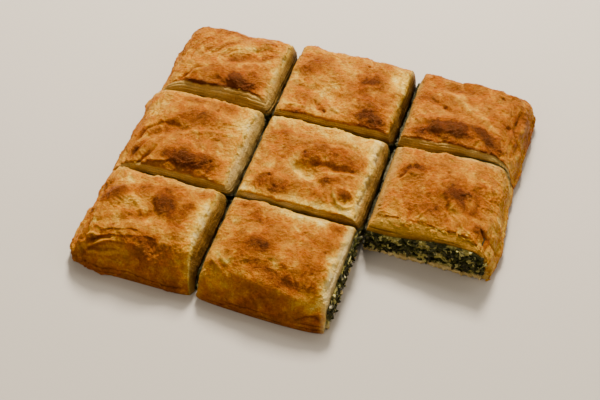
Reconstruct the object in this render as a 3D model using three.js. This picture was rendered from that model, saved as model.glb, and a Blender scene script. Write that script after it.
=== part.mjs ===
// Spanakopita: a spinach and feta pie of puff pastry, cut into a grid of three by three
// pieces, with the front right piece taken out. Each piece is a browned lid, the filling
// under it and a thin base. On the pie's outer sides the lid turns down to the surface and
// ends in a folded rim.
// Millimetres, +Z up. The origin is the middle of the whole pie's footprint, on the surface
// that it lies on. +X runs along the long side and +Y to the back.
import * as THREE from "three";

// Driving dimensions
const pieWidth = 249;
const pieDepth = 209;
const columnCuts = { at: [-41, 43], gap: 5.4 }; // middles of the cuts that run front to back
const rowCuts = { at: [-36.3, 35.4], gap: 2.6 }; // middles of the cuts that run left to right
const edgeHeight = 24.5; // lid's top beside a cut
const crownHeight = 5; // how much higher the lid stands mid piece
const fillingHeight = 16.8; // underside of the lid
const baseHeight = 3;
const rimWall = 5.6; // crust between the filling and the open air
const fit = 0.3; // clearance between layers that touch

// How far in from each outer side the rim's rounding spreads.
const rimSpread = { left: 22, right: 18, front: 15, back: 11 };

// How far the browned top stops short of each cut, where the blade dragged the pastry down,
// and how far in from the cut that drag is felt.
const topInset = { left: 2, right: 7, front: 7, back: 3 };
const dragReach = 20;

// Mesh steps
const lidStep = 7;
const fillingStep = 9;
const baseStep = 16;

// The rim in section, from the surface it stands on up to the lid's full height: a share of
// the way in from the pie's side to the end of the rounding, and a share of the full height.
const rimOutside = [
  { inward: 0.09, height: 0 },
  { inward: 0, height: 0.13 },
  { inward: 0.05, height: 0.27 },
  { inward: 0.17, height: 0.34 },
  { inward: 0.25, height: 0.55 },
  { inward: 0.42, height: 0.78 },
  { inward: 0.67, height: 0.92 },
  { inward: 1, height: 1 },
];
// The same for the lid's underside, from the rim's wall inwards.
const rimInside = [
  { inward: 0.02, height: 0 },
  { inward: 0, height: 0.17 },
  { inward: 0, height: 0.35 },
  { inward: 0.03, height: 0.54 },
  { inward: 0.11, height: 0.74 },
  { inward: 0.25, height: 0.88 },
  { inward: 0.56, height: 0.97 },
  { inward: 1, height: 1 },
];
const fillingSide = [
  { inward: 0, height: 0.2 },
  { inward: 0.06, height: 0.5 },
  { inward: 0.17, height: 0.76 },
  { inward: 0.43, height: 0.93 },
  { inward: 1, height: 1 },
];
const baseSide = [{ inward: 0.02, height: 1 }];

// The pie's outline, from a plain rectangle: corners are pulled in over a reach to round them,
// the rim is drawn in beside each cut, and bulges push the side out.
const cornerReach = 28;
const cornerPull = 4.2;
const notchReach = 16;
const notchPull = 1.8;
const bulges = [
  { at: [-125, -78], push: [-3, 0], reach: 20 },
  { at: [-125, 84], push: [-2.2, 0], reach: 20 },
  { at: [-125, 50], push: [2, 0], reach: 13 },
  { at: [122, 98], push: [1.6, 1.2], reach: 12 },
  { at: [125, -16], push: [2.4, 0], reach: 20 },
  { at: [125, 62], push: [1, 0], reach: 20 },
  { at: [6, 105], push: [0, 2.4], reach: 45 },
  { at: [14, -105], push: [0, -2], reach: 40 },
];

// Blisters and hollows of the lid, each an oval mound: middle, half widths, turn in degrees
// and height, which is negative for a hollow.
const mounds = [
  // back row
  { at: [-66, 49], half: [13, 9], turn: 8, height: 3.0 },
  { at: [-94, 49], half: [9, 8], turn: 0, height: 2.4 },
  { at: [-66, 75], half: [20, 3.5], turn: 22, height: -1.8 },
  { at: [-24, 81], half: [12, 11], turn: 0, height: 1.6 },
  { at: [18, 76], half: [10, 9], turn: 30, height: 1.8 },
  { at: [25, 49], half: [13, 9], turn: 0, height: 2.4 },
  { at: [-6, 57], half: [8, 10], turn: 20, height: -1.6 },
  { at: [78, 51], half: [20, 8], turn: 0, height: 2.8 },
  { at: [74, 87], half: [16, 4], turn: -6, height: -1.4 },
  { at: [113, 71], half: [4, 12], turn: -12, height: -3.0 },
  // middle row
  { at: [-81, 11], half: [16, 9], turn: 10, height: 1.6 },
  { at: [-77, -21], half: [16, 9], turn: -10, height: 2.8 },
  { at: [-101, -7], half: [14, 4], turn: 40, height: -2.4 },
  { at: [12, 10], half: [19, 10], turn: 5, height: 2.6 },
  { at: [-18, -23], half: [13, 8], turn: 15, height: 1.8 },
  { at: [27, -19], half: [10, 8], turn: 20, height: 1.8 },
  { at: [4, -11], half: [14, 4], turn: -35, height: -2.0 },
  { at: [89, -1], half: [12, 11], turn: 0, height: 2.8 },
  { at: [64, 11], half: [8, 6], turn: 30, height: 1.4 },
  { at: [112, -21], half: [7, 6], turn: 0, height: 1.2 },
  // front row
  { at: [-105, -62], half: [9, 8], turn: 40, height: 1.8 },
  { at: [-72, -60], half: [14, 10], turn: 0, height: 2.2 },
  { at: [-79, -86], half: [20, 7], turn: 12, height: 3.0 },
  { at: [-90, -76], half: [18, 3.5], turn: 20, height: -2.2 },
  { at: [-9, -69], half: [13, 7], turn: 0, height: 1.8 },
  { at: [0, -81], half: [18, 4], turn: -4, height: -2.4 },
  { at: [6, -91], half: [26, 5], turn: -6, height: 1.8 },
  { at: [28, -70], half: [7, 12], turn: 0, height: 1.4 },
];

// The filling is piled higher towards the pie's right side, and lifts the lid there.
const fillingRise = { height: 6.5, from: 55, to: 100 };
const lidRise = { height: 2.5, from: 60, to: 90, end: 96, gone: 112 };

const columns = spans(pieWidth, columnCuts, "left", "right");
const rows = spans(pieDepth, rowCuts, "front", "back");
const columnNames = ["left", "centre", "right"];
const rowNames = ["front", "middle", "back"];
const takenOut = "front_right";

// The three spans that two cuts leave of a length. Each end has the side that it faces, and
// whether the pie's rim bounds it there or a cut does.
function spans(length, cuts, lowSide, highSide) {
  const [first, second] = cuts.at;
  const half = cuts.gap / 2;
  const end = (side, isRim) => ({ side, isRim });
  return [
    { from: -length / 2, to: first - half, low: end(lowSide, true), high: end(highSide, false) },
    { from: first + half, to: second - half, low: end(lowSide, false), high: end(highSide, false) },
    { from: second + half, to: length / 2, low: end(lowSide, false), high: end(highSide, true) },
  ];
}

// Stations at one end of a span, from the end inwards: how far in each mesh line is, and its
// share of the full height. setBack is how far a layer stands behind a rim's side or a cut.
function endStations(end, profile, setBack) {
  if (!end.isRim) return [{ inward: setBack.cut, share: 1 }];
  const spread = rimSpread[end.side];
  return profile.map((point) => ({
    inward: setBack.rim + point.inward * (spread - setBack.rim),
    share: point.height,
  }));
}

// How many mesh steps fit between the ends of a span, the same for every layer of a piece.
function stepCount(span, step) {
  const spreads = [span.low, span.high].map((end) => (end.isRim ? rimSpread[end.side] : 0));
  return Math.max(2, Math.round((span.to - span.from - spreads[0] - spreads[1]) / step));
}

// Stations across a span: both its ends, and even steps between them.
function stations(span, profile, setBack, step) {
  const low = endStations(span.low, profile, setBack).map(({ inward, share }) => ({
    place: span.from + inward,
    share,
  }));
  const high = endStations(span.high, profile, setBack)
    .map(({ inward, share }) => ({ place: span.to - inward, share }))
    .reverse();
  const start = low[low.length - 1].place;
  const length = high[0].place - start;
  const steps = stepCount(span, step);
  const between = Array.from({ length: steps - 1 }, (_, i) => ({
    place: start + (length * (i + 1)) / steps,
    share: 1,
  }));
  return [...low, ...between, ...high];
}

function smoothStep(from, to, x) {
  const t = Math.min(1, Math.max(0, (x - from) / (to - from)));
  return t * t * (3 - 2 * t);
}

// Two shares of the height meet in a rounded mitre: close to the smaller of the two.
function mitre(a, b) {
  const sharpness = 4;
  if (a <= 0 || b <= 0) return 0;
  return (a ** -sharpness + b ** -sharpness - 1) ** (-1 / sharpness);
}

// Where a place lies along a span, from -1 at its low end to 1 at its high end.
const along = (place, span) => (2 * (place - span.from)) / (span.to - span.from) - 1;

// How strongly the rim's notches act at a place: 1 at the pie's side beside a cut, fading
// inwards and away from the cut.
function notch(place, span, across, crossSpan) {
  const fade = (distance) => Math.max(0, 1 - distance / notchReach) ** 2;
  const inRim = span.low.isRim ? fade(place - span.from) : 0;
  const outRim = span.high.isRim ? fade(span.to - place) : 0;
  const t = along(across, crossSpan);
  const besideCut = t < 0 ? !crossSpan.low.isRim : !crossSpan.high.isRim;
  return besideCut ? (inRim - outRim) * t ** 8 : 0;
}

// A top point's place once the blade has dragged it back from the cuts. share is the point's
// share of the full height: low on a rim there is no drag.
function drag(place, span, share) {
  const pull = (end, distance) =>
    end.isRim ? 0 : topInset[end.side] * share ** 2 * Math.max(0, 1 - distance / dragReach);
  return place + pull(span.low, place - span.from) - pull(span.high, span.to - place);
}

// The outline: moves a point of the plain rectangle for the corners, notches and bulges.
function settle(x, y, column, row) {
  const u = Math.max(0, Math.abs(x) - (pieWidth / 2 - cornerReach)) / cornerReach;
  const v = Math.max(0, Math.abs(y) - (pieDepth / 2 - cornerReach)) / cornerReach;
  const pull = cornerPull * (u * v) ** 2;
  const moved = [
    x - Math.sign(x) * pull + notchPull * notch(x, column, y, row),
    y - Math.sign(y) * pull + notchPull * notch(y, row, x, column),
  ];
  for (const bulge of bulges) {
    const distance = Math.hypot(x - bulge.at[0], y - bulge.at[1]);
    const share = Math.exp(-((distance / bulge.reach) ** 2));
    moved[0] += bulge.push[0] * share;
    moved[1] += bulge.push[1] * share;
  }
  return moved;
}

// Sum of the mounds' heights at a point: each falls off as a bell.
function relief(x, y) {
  return mounds.reduce((sum, mound) => {
    const turn = THREE.MathUtils.degToRad(mound.turn);
    const dx = x - mound.at[0];
    const dy = y - mound.at[1];
    const lengthwise = (dx * Math.cos(turn) + dy * Math.sin(turn)) / mound.half[0];
    const crosswise = (dy * Math.cos(turn) - dx * Math.sin(turn)) / mound.half[1];
    return sum + mound.height * Math.exp(-(lengthwise ** 2 + crosswise ** 2));
  }, 0);
}

// Full height of a piece's top: an edge height, a crown mid piece, and the relief, which
// fades towards the piece's edges.
function lidHeight(x, y, column, row) {
  const crown = (1 - Math.abs(along(x, column)) ** 3) * (1 - Math.abs(along(y, row)) ** 3);
  const rise = smoothStep(lidRise.from, lidRise.to, x) * (1 - smoothStep(lidRise.end, lidRise.gone, x));
  const reliefShare = Math.min(1, 0.35 + crown);
  return edgeHeight + lidRise.height * rise + crownHeight * crown + relief(x, y) * reliefShare;
}

const undersideHeight = (x) =>
  fillingHeight + fillingRise.height * smoothStep(fillingRise.from, fillingRise.to, x);

// A block of nx by ny by nz cells whose lattice points are placed by a function of their
// three whole-number indices. Its faces stay those of a box, so it is always closed.
function block(nx, ny, nz, place) {
  const geometry = new THREE.BoxGeometry(1, 1, 1, nx, ny, nz);
  const position = geometry.attributes.position;
  for (let n = 0; n < position.count; n += 1) {
    const i = Math.round((position.getX(n) + 0.5) * nx);
    const j = Math.round((position.getY(n) + 0.5) * ny);
    const k = Math.round((position.getZ(n) + 0.5) * nz);
    position.setXYZ(n, ...place(i, j, k));
  }
  geometry.computeVertexNormals();
  return geometry;
}

// The lid: its browned top over its underside, with cut faces that slope out to the cut.
// Half way up, a cut face still stands nearly over the cut.
const cutFace = [
  { outward: 0, upward: 0 },
  { outward: 0.3, upward: 0.5 },
  { outward: 1, upward: 1 },
];

function lidGeometry(column, row) {
  const onTop = { rim: 0, cut: 0 };
  const under = { rim: rimWall, cut: 0 };
  const topX = stations(column, rimOutside, onTop, lidStep);
  const topY = stations(row, rimOutside, onTop, lidStep);
  const underX = stations(column, rimInside, under, lidStep);
  const underY = stations(row, rimInside, under, lidStep);
  return block(topX.length - 1, topY.length - 1, cutFace.length - 1, (i, j, k) => {
    const topShare = mitre(topX[i].share, topY[j].share);
    const topPlace = [drag(topX[i].place, column, topShare), drag(topY[j].place, row, topShare)];
    const top = [
      ...settle(...topPlace, column, row),
      lidHeight(...topPlace, column, row) * topShare,
    ];
    const underShare = mitre(underX[i].share, underY[j].share);
    const bottom = [
      ...settle(underX[i].place, underY[j].place, column, row),
      undersideHeight(underX[i].place) * underShare,
    ];
    const { outward, upward } = cutFace[k];
    const mix = [outward, outward, upward];
    return bottom.map((low, axis) => low + (top[axis] - low) * mix[axis]);
  });
}

// Crumbly relief of the filling's cut faces, a repeatable push in and out.
function crumble(x, y, z) {
  const depth = 0.9;
  return depth * Math.sin(0.9 * x + 1.7 * z) * Math.sin(0.8 * y - 1.3 * z);
}

// The filling: from just over the base up to the lid's underside.
function fillingGeometry(column, row) {
  const setBack = { rim: rimWall + fit, cut: 1 };
  const atX = stations(column, fillingSide, setBack, fillingStep);
  const atY = stations(row, fillingSide, setBack, fillingStep);
  const faceRows = 3;
  const thinnest = 0.6;
  const lastX = atX.length - 1;
  const lastY = atY.length - 1;
  const bottom = baseHeight + fit;
  const isCut = (index, last, span) =>
    (index === 0 && !span.low.isRim) || (index === last && !span.high.isRim);
  return block(lastX, lastY, faceRows, (i, j, k) => {
    const share = mitre(atX[i].share, atY[j].share);
    const top = Math.max(bottom + thinnest, undersideHeight(atX[i].place) * share - fit);
    const z = bottom + ((top - bottom) * k) / faceRows;
    const push = k > 0 && k < faceRows ? crumble(atX[i].place, atY[j].place, z) : 0;
    const [x, y] = settle(atX[i].place, atY[j].place, column, row);
    return [
      x + (isCut(i, lastX, column) ? push : 0),
      y + (isCut(j, lastY, row) ? push : 0),
      z,
    ];
  });
}

// The base: a thin flat sheet inside the lid's rim.
function baseGeometry(column, row) {
  const setBack = { rim: rimWall + fit, cut: 0.4 };
  const atX = stations(column, baseSide, setBack, baseStep);
  const atY = stations(row, baseSide, setBack, baseStep);
  return block(atX.length - 1, atY.length - 1, 1, (i, j, k) => [
    ...settle(atX[i].place, atY[j].place, column, row),
    k * baseHeight,
  ]);
}

const layers = [
  {
    name: "lid",
    geometry: lidGeometry,
    material: new THREE.MeshStandardMaterial({ color: 0xd08a3c, roughness: 0.5, metalness: 0 }),
  },
  {
    name: "filling",
    geometry: fillingGeometry,
    material: new THREE.MeshStandardMaterial({ color: 0x4a4a20, roughness: 0.6, metalness: 0 }),
  },
  {
    name: "base",
    geometry: baseGeometry,
    material: new THREE.MeshStandardMaterial({ color: 0xc09a60, roughness: 0.8, metalness: 0 }),
  },
];

const pie = new THREE.Group();
rows.forEach((row, r) => {
  columns.forEach((column, c) => {
    const piece = `${rowNames[r]}_${columnNames[c]}`;
    if (piece === takenOut) return;
    for (const layer of layers) {
      const mesh = new THREE.Mesh(layer.geometry(column, row), layer.material);
      mesh.name = `${piece}_${layer.name}`;
      pie.add(mesh);
    }
  });
});

export default pie;
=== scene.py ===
"""Spanakopita: a puff pastry pie of spinach and feta, cut in a grid of three by three pieces.

The front right piece has been taken out. Each piece left is a browned lid, the filling under
it and a thin base, and each of those is one surface worked out from the same plan. The plan
is a plain rectangle of cuts and rims, which a few moves then round, notch and bulge.
Lengths are millimetres until a mesh is made, with +Z up and the pie's middle at the origin.
"""
import math
from collections import namedtuple
from itertools import product

import bpy
import numpy as np
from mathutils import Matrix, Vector


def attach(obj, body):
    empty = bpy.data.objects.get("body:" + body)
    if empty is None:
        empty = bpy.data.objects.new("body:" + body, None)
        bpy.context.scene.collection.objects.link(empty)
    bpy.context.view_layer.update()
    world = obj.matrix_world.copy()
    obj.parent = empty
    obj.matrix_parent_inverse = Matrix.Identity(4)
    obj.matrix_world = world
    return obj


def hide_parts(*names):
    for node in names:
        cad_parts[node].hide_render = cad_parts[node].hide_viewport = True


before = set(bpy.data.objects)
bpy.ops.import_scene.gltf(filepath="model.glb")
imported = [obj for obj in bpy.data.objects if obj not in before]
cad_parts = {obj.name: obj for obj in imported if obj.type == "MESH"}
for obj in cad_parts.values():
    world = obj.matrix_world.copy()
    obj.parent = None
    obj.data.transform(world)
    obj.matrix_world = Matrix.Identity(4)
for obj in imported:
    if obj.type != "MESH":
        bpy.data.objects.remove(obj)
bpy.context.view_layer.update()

MM = 0.001

# ---------------------------------------------------------------- sizes of the pie
PIE_WIDTH, PIE_DEPTH = 249.0, 209.0
COLUMN_CUTS, COLUMN_GAP = (-41.0, 43.0), 5.4
ROW_CUTS, ROW_GAP = (-36.3, 35.4), 2.6
EDGE_HEIGHT = 24.5  # lid's top beside a cut
CROWN_HEIGHT = 3.5  # how much higher the lid stands mid piece
FILLING_HEIGHT = 16.8  # underside of the lid
BASE_HEIGHT = 3.0
RIM_WALL = 5.4  # crust between the filling and the open air
FIT = 0.3  # clearance between layers
OPEN_ROOM = 6.0  # stands for the width of an open cut
SAG_OUT, SAG_DOWN = 2.1, 6.0  # slumped lower edge of a lid in a cut between columns
RIM_SPREAD = {"left": 22.0, "right": 17.0, "front": 23.0, "back": 11.0}
DRAG_REACH, LIP_REACH = 20.0, 6.0  # how far a cut drags the lid's top, and frays its edge
NO_CUT = 99.0  # stands for the distance from a cut on a side that is a rim
TIP = 0.1  # how far the filling's own top stays under the lid

# Distance between mesh points, and rows of them down the face of a cut lid.
MESH_STEP = 0.5
FACE_ROWS = 34

# How a piece was cut on a side: how far the lid's top stands back from the cut and how pale its leaves are,
# from 0 (brown) to 1 (cream), both at the edge's low and high end, and how round its shoulder is. The
# paleness is partly the leaves' own colour and partly painted shade, low on faces that lie in shade. The
# knife was held askew, so front and right faces slope most.
Cut = namedtuple("Cut", "inset tone round")
CUTS = {
    ("back", "left"): {
        "front": Cut((4.5, 7.5), (0.60, 0.50), 0.6),
        "right": Cut((4.0, 1.5), (0.70, 0.00), 2.0),
    },
    ("back", "centre"): {
        "front": Cut((1.0, 2.0), (0.50, 0.40), 1.0),
        "right": Cut((3.0, 0.8), (0.12, 0.10), 1.4),
    },
    ("back", "right"): {"front": Cut((4.0, 2.5), (0.40, 0.75), 0.8)},
    ("middle", "left"): {
        "front": Cut((3.0, 2.0), (0.60, 0.45), 1.4),
        "right": Cut((3.0, 3.0), (0.85, 0.70), 1.4),
    },
    ("middle", "centre"): {
        "front": Cut((0.5, 0.6), (0.95, 0.30), 0.6),
        "right": Cut((3.0, 3.0), (0.25, 0.35), 1.8),
    },
    ("middle", "right"): {
        "front": Cut((8.5, 4.0), (0.66, 0.25), 0.8),
        "left": Cut((3.0, 5.5), (0.3, 0.3), 2.4),
    },
    ("front", "left"): {"right": Cut((4.5, 3.5), (0.0, 0.08), 1.5)},
    ("front", "centre"): {"right": Cut((3.0, 2.0), (1.0, 1.0), 2.0)},
}
USUAL_CUT = {
    "left": Cut((2.0, 2.0), (0.30, 0.30), 2.0), "right": Cut((3.0, 3.0), (0.5, 0.5), 4.0),
    "front": Cut((4.0, 4.0), (0.5, 0.5), 1.2), "back": Cut((1.8, 1.8), (0.6, 0.6), 2.2),
}

# The rim in section: how far in, as a share of its spread, and a share of the full height.
RIM_OUTSIDE = [
    (0.09, 0.0), (0.0, 0.13), (0.05, 0.27), (0.17, 0.34),
    (0.25, 0.55), (0.42, 0.78), (0.67, 0.92), (1.0, 1.0),
]
RIM_FRONT = [  # fuller
    (0.05, 0.0), (0.0, 0.10), (0.01, 0.24), (0.06, 0.38),
    (0.20, 0.55), (0.45, 0.77), (0.72, 0.93), (1.0, 1.0),
]
RIM_INSIDE = [
    (0.02, 0.0), (0.0, 0.17), (0.0, 0.35), (0.03, 0.54),
    (0.11, 0.74), (0.25, 0.88), (0.56, 0.97), (1.0, 1.0),
]
MITRE = 4.0  # how sharply two rims' heights meet at a corner

# Moves of the plan: rounded corners, notches where a cut meets the rim, and bulges.
CORNER_REACH, CORNER_PULL = 28.0, 4.2
NOTCH_REACH, NOTCH_PULL = 16.0, 1.8
CLOSING = 0.9  # how much closer two rows stand where their cut comes out at the sides
CLOSING_REACH, CLOSING_FROM, CLOSING_TO = 8.0, 88.0, 120.0
RAISED_REACH = 16.0  # along a back rim, beside a cut that comes out there
BULGES = [  # rows it moves, middle, push, reach
    ("front", (-125, -95), (-1.4, 0.0), 13), ("front", (-125, -62), (0.8, 0.0), 14),
    ("front middle", (-125, -22), (-1.2, 0.0), 16), ("middle", (-125, 33), (-2.0, 0.0), 10),
    ("back", (-125, 50), (1.8, 0.0), 16), ("back", (-125, 88), (0.8, 0.0), 20),
    ("back", (122, 98), (2.6, 2.0), 11), ("middle", (125, -16), (2.6, 0.0), 20),
    ("back", (125, 62), (1.0, 0.0), 20), ("back", (6, 105), (0.0, 2.4), 45),
    ("front", (14, -105), (0.0, -2.0), 40),
]

# The filling is piled higher towards the right side, and lifts the lid there.
FILLING_RISE = {"height": 6.5, "from": 55.0, "to": 100.0}
LID_RISE = {"height": 2.5, "from": 60.0, "to": 90.0, "end": 96.0, "gone": 112.0}

# Blisters and hollows of the lid: middle, half widths, turn in degrees, height.
MOUNDS = [
    ((-66, 49), (13, 9), 8, 3.0), ((-94, 49), (9, 8), 0, 2.4), ((-66, 75), (20, 4.5), 22, -0.9),
    ((-24, 81), (12, 11), 0, 1.6), ((18, 76), (10, 9), 30, 1.8), ((25, 49), (13, 9), 0, 2.4),
    ((-6, 57), (8, 10), 20, -1.6), ((78, 51), (20, 8), 0, 2.8), ((74, 87), (16, 4), -6, -1.4),
    ((113, 71), (4, 12), -12, -0.8),
    ((-81, 11), (16, 9), 10, 1.6), ((-77, -21), (16, 9), -10, 2.8), ((-101, -7), (14, 4), 40, -2.4),
    ((13, 6), (18, 9), 0, 3.0), ((-18, -25), (13, 8), 10, 1.8), ((28, -21), (8, 5), 10, 2.0),
    ((-1, -11), (10, 5), -25, -3.0), ((17, -12.5), (10, 4.5), 5, 1.6), ((-22, 16), (9, 5), 0, 1.2),
    ((89, -1), (12, 11), 0, 2.8), ((64, 11), (8, 6), 30, 1.4), ((112, -21), (7, 6), 0, 1.2),
    ((-105, -62), (9, 8), 40, 1.8), ((-72, -60), (14, 10), 0, 2.2), ((-82, -94), (24, 7), 6, 1.2),
    ((-90, -78), (18, 3.5), 20, -1.2), ((-9, -71), (13, 8), 0, 2.2), ((2, -87), (18, 4.5), -12, -0.5),
    ((4, -96), (27, 5), -5, 0.8), ((28, -72), (7, 12), 0, 1.6),
]

BLISTER, HOLLOW = 1.5, 1.8  # factors for the heights of all the blisters and all the hollows

# Darker baked patches, and paler ones below 0: middle, half widths, turn in degrees, how much darker. A few
# pale ones on the front slopes are painted highlights.
SCORCHES = [
    # back left
    ((-66, 48), (11, 6.5), -8, 0.4), ((-65, 52), (19, 11), 0, 0.22), ((-88, 41.5), (13, 1.8), -4, 0.35),
    ((-74, 71), (12, 2.4), 35, 0.3), ((-56, 79), (11, 2.2), 28, 0.25), ((-84, 81), (9, 1.8), 30, 0.2),
    ((-78, 93), (32, 4), -3, 0.18), ((-71, 80), (7, 3), 20, -0.2), ((-56, 72), (6, 3), 30, -0.15),
    # back centre
    ((-24, 84), (8, 5.5), 0, 0.32), ((-26, 74), (6, 4), 0, 0.2), ((18, 76), (8, 6), 20, 0.34),
    ((12, 68), (9, 4), 50, 0.2), ((26.5, 43), (11, 6.5), 0, 0.5), ((25, 56), (13, 10), 0, 0.22),
    ((-22, 51), (6.5, 5.5), 0, 0.28), ((-24, 39.5), (9, 3), 0, 0.38), ((-8, 45), (5, 3), 20, 0.25),
    ((-20, 95), (14, 5), 0, -0.12), ((33, 84), (6, 11), 0, -0.22), ((2, 82), (8, 4), 0, -0.12),
    ((-16, 61), (8, 5), 0, -0.12), ((9, 51), (6, 4), 0, -0.1),
    # back right
    ((74, 87), (15, 3.5), -8, 0.24), ((78, 76), (20, 3.2), -38, -0.1), ((60, 46.5), (9, 3.5), 12, 0.35),
    ((78, 50), (13, 5), 2, 0.5), ((99, 49.5), (11, 4), -28, 0.45), ((54.5, 76), (6, 4.5), 0, 0.26),
    ((113, 72), (5, 12), -10, 0.2), ((118.5, 81), (2, 5), 0, 0.3),
    # middle left
    ((-51, 17), (8, 12), 0, -0.24), ((-109, 16), (7, 14), 0, -0.15), ((-86.5, 26), (9, 3.5), 0, 0.3),
    ((-64.5, 25), (8, 4), 0, 0.2), ((-81, 11), (12, 7), 15, 0.34), ((-97, -4.5), (11, 3), 22, 0.3),
    ((-66, 0), (10, 3), 0, 0.15), ((-79, -25), (10, 6), -10, 0.45), ((-65, -22), (8, 5), 0, 0.3),
    ((-68, -28.5), (20, 2.5), -2, 0.25), ((-108, -26), (3, 10), -15, 0.3),
    # centre
    ((-25, 17), (8, 3), 0, 0.28), ((13, 6), (16, 8), 0, 0.17), ((-2, 3), (4, 6), -10, 0.26),
    ((28, 1), (6, 3), -10, 0.2), ((6, 12), (10, 2.5), 0, 0.16), ((17, -13), (9, 4), 5, 0.14),
    ((4, -4), (30, 26), 0, -0.035), ((13.5, -16), (3.2, 3.5), 0, 0.3), ((14, -25), (4, 5), 0, 0.15),
    ((28.5, -21.5), (6.5, 3.3), 5, 0.32),
    ((-19, -26.5), (12, 5), 5, 0.34), ((-27, -25), (5, 5), 0, 0.16), ((-11, -30), (7, 3), 0, 0.25),
    ((-23, -20.5), (4, 1.6), 20, 0.3), ((8, -28), (5, 3), 0, 0.22), ((-2, -11), (11, 5), -25, -0.2),
    ((10, 23), (30, 5), -2, -0.15), ((-20, 4), (10, 7), 0, 0.08),
    # middle right
    ((63.5, 11.5), (8, 5.5), 30, 0.32), ((90, -3), (8, 6), 25, 0.32), ((97, -10), (7, 3.5), -35, 0.3),
    ((103, 2), (10, 3), 60, 0.14), ((82, -16.5), (8, 4), 0, 0.24), ((70.5, -19), (7, 4), 0, 0.2),
    ((112, -22), (7, 4), 0, 0.32), ((96, 12), (9, 6), 0, -0.1), ((86, 4), (34, 28), 0, 0.08),
    # front left
    ((-50, -62), (5, 17), 0, -0.24), ((-74, -59), (7.5, 9.5), 0, 0.38), ((-66.5, -68), (6, 4.5), 0, 0.3),
    ((-89.5, -54), (6, 4), 0, 0.3), ((-106, -64), (9, 4.5), 40, 0.4), ((-88, -75), (9, 3), 10, 0.2),
    ((-73, -91), (11, 6), 4, 0.2), ((-50, -45), (7, 5), 0, 0.28), ((-58, -60), (4, 4), 0, 0.2),
    ((-61, -75), (4, 4), 0, 0.2), ((-91, -66), (10, 4), 10, -0.14), ((-100, -52), (6, 5), 0, -0.15),
    # painted highlight on the front slope
    ((-93, -96), (13, 4.5), 6, -0.16),
    # front centre
    ((6, -44), (20, 4), -2, -0.18), ((32.5, -46), (5, 7), 0, 0.34), ((31, -60), (6, 6), 0, 0.2),
    ((-30, -44), (6, 3), 0, 0.28), ((-14, -54), (10, 4), -10, 0.25), ((-8, -74), (8, 7), 0, 0.36),
    ((3, -89), (19, 3.5), -12, 0.26), ((24, -83), (12, 13), 0, 0.16), ((-8, -104), (26, 2), 0, 0.1),
    ((-20, -102), (14, 3.5), 0, -0.05), ((-27, -86), (7, 4), -30, -0.2), ((36, -103), (5, 3), 0, 0.25),
    # the first two patches here are painted highlights on the front slope
    ((28, -97), (9, 5), -10, -0.16), ((-27, -97), (8, 4.5), -5, -0.15), ((39, -82), (4.5, 18), 0, -0.4),
]

PATCH_SHADE, PATCH_HEIGHT = 0.72, 1.3  # factors for all the patches, which stand up a little

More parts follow.
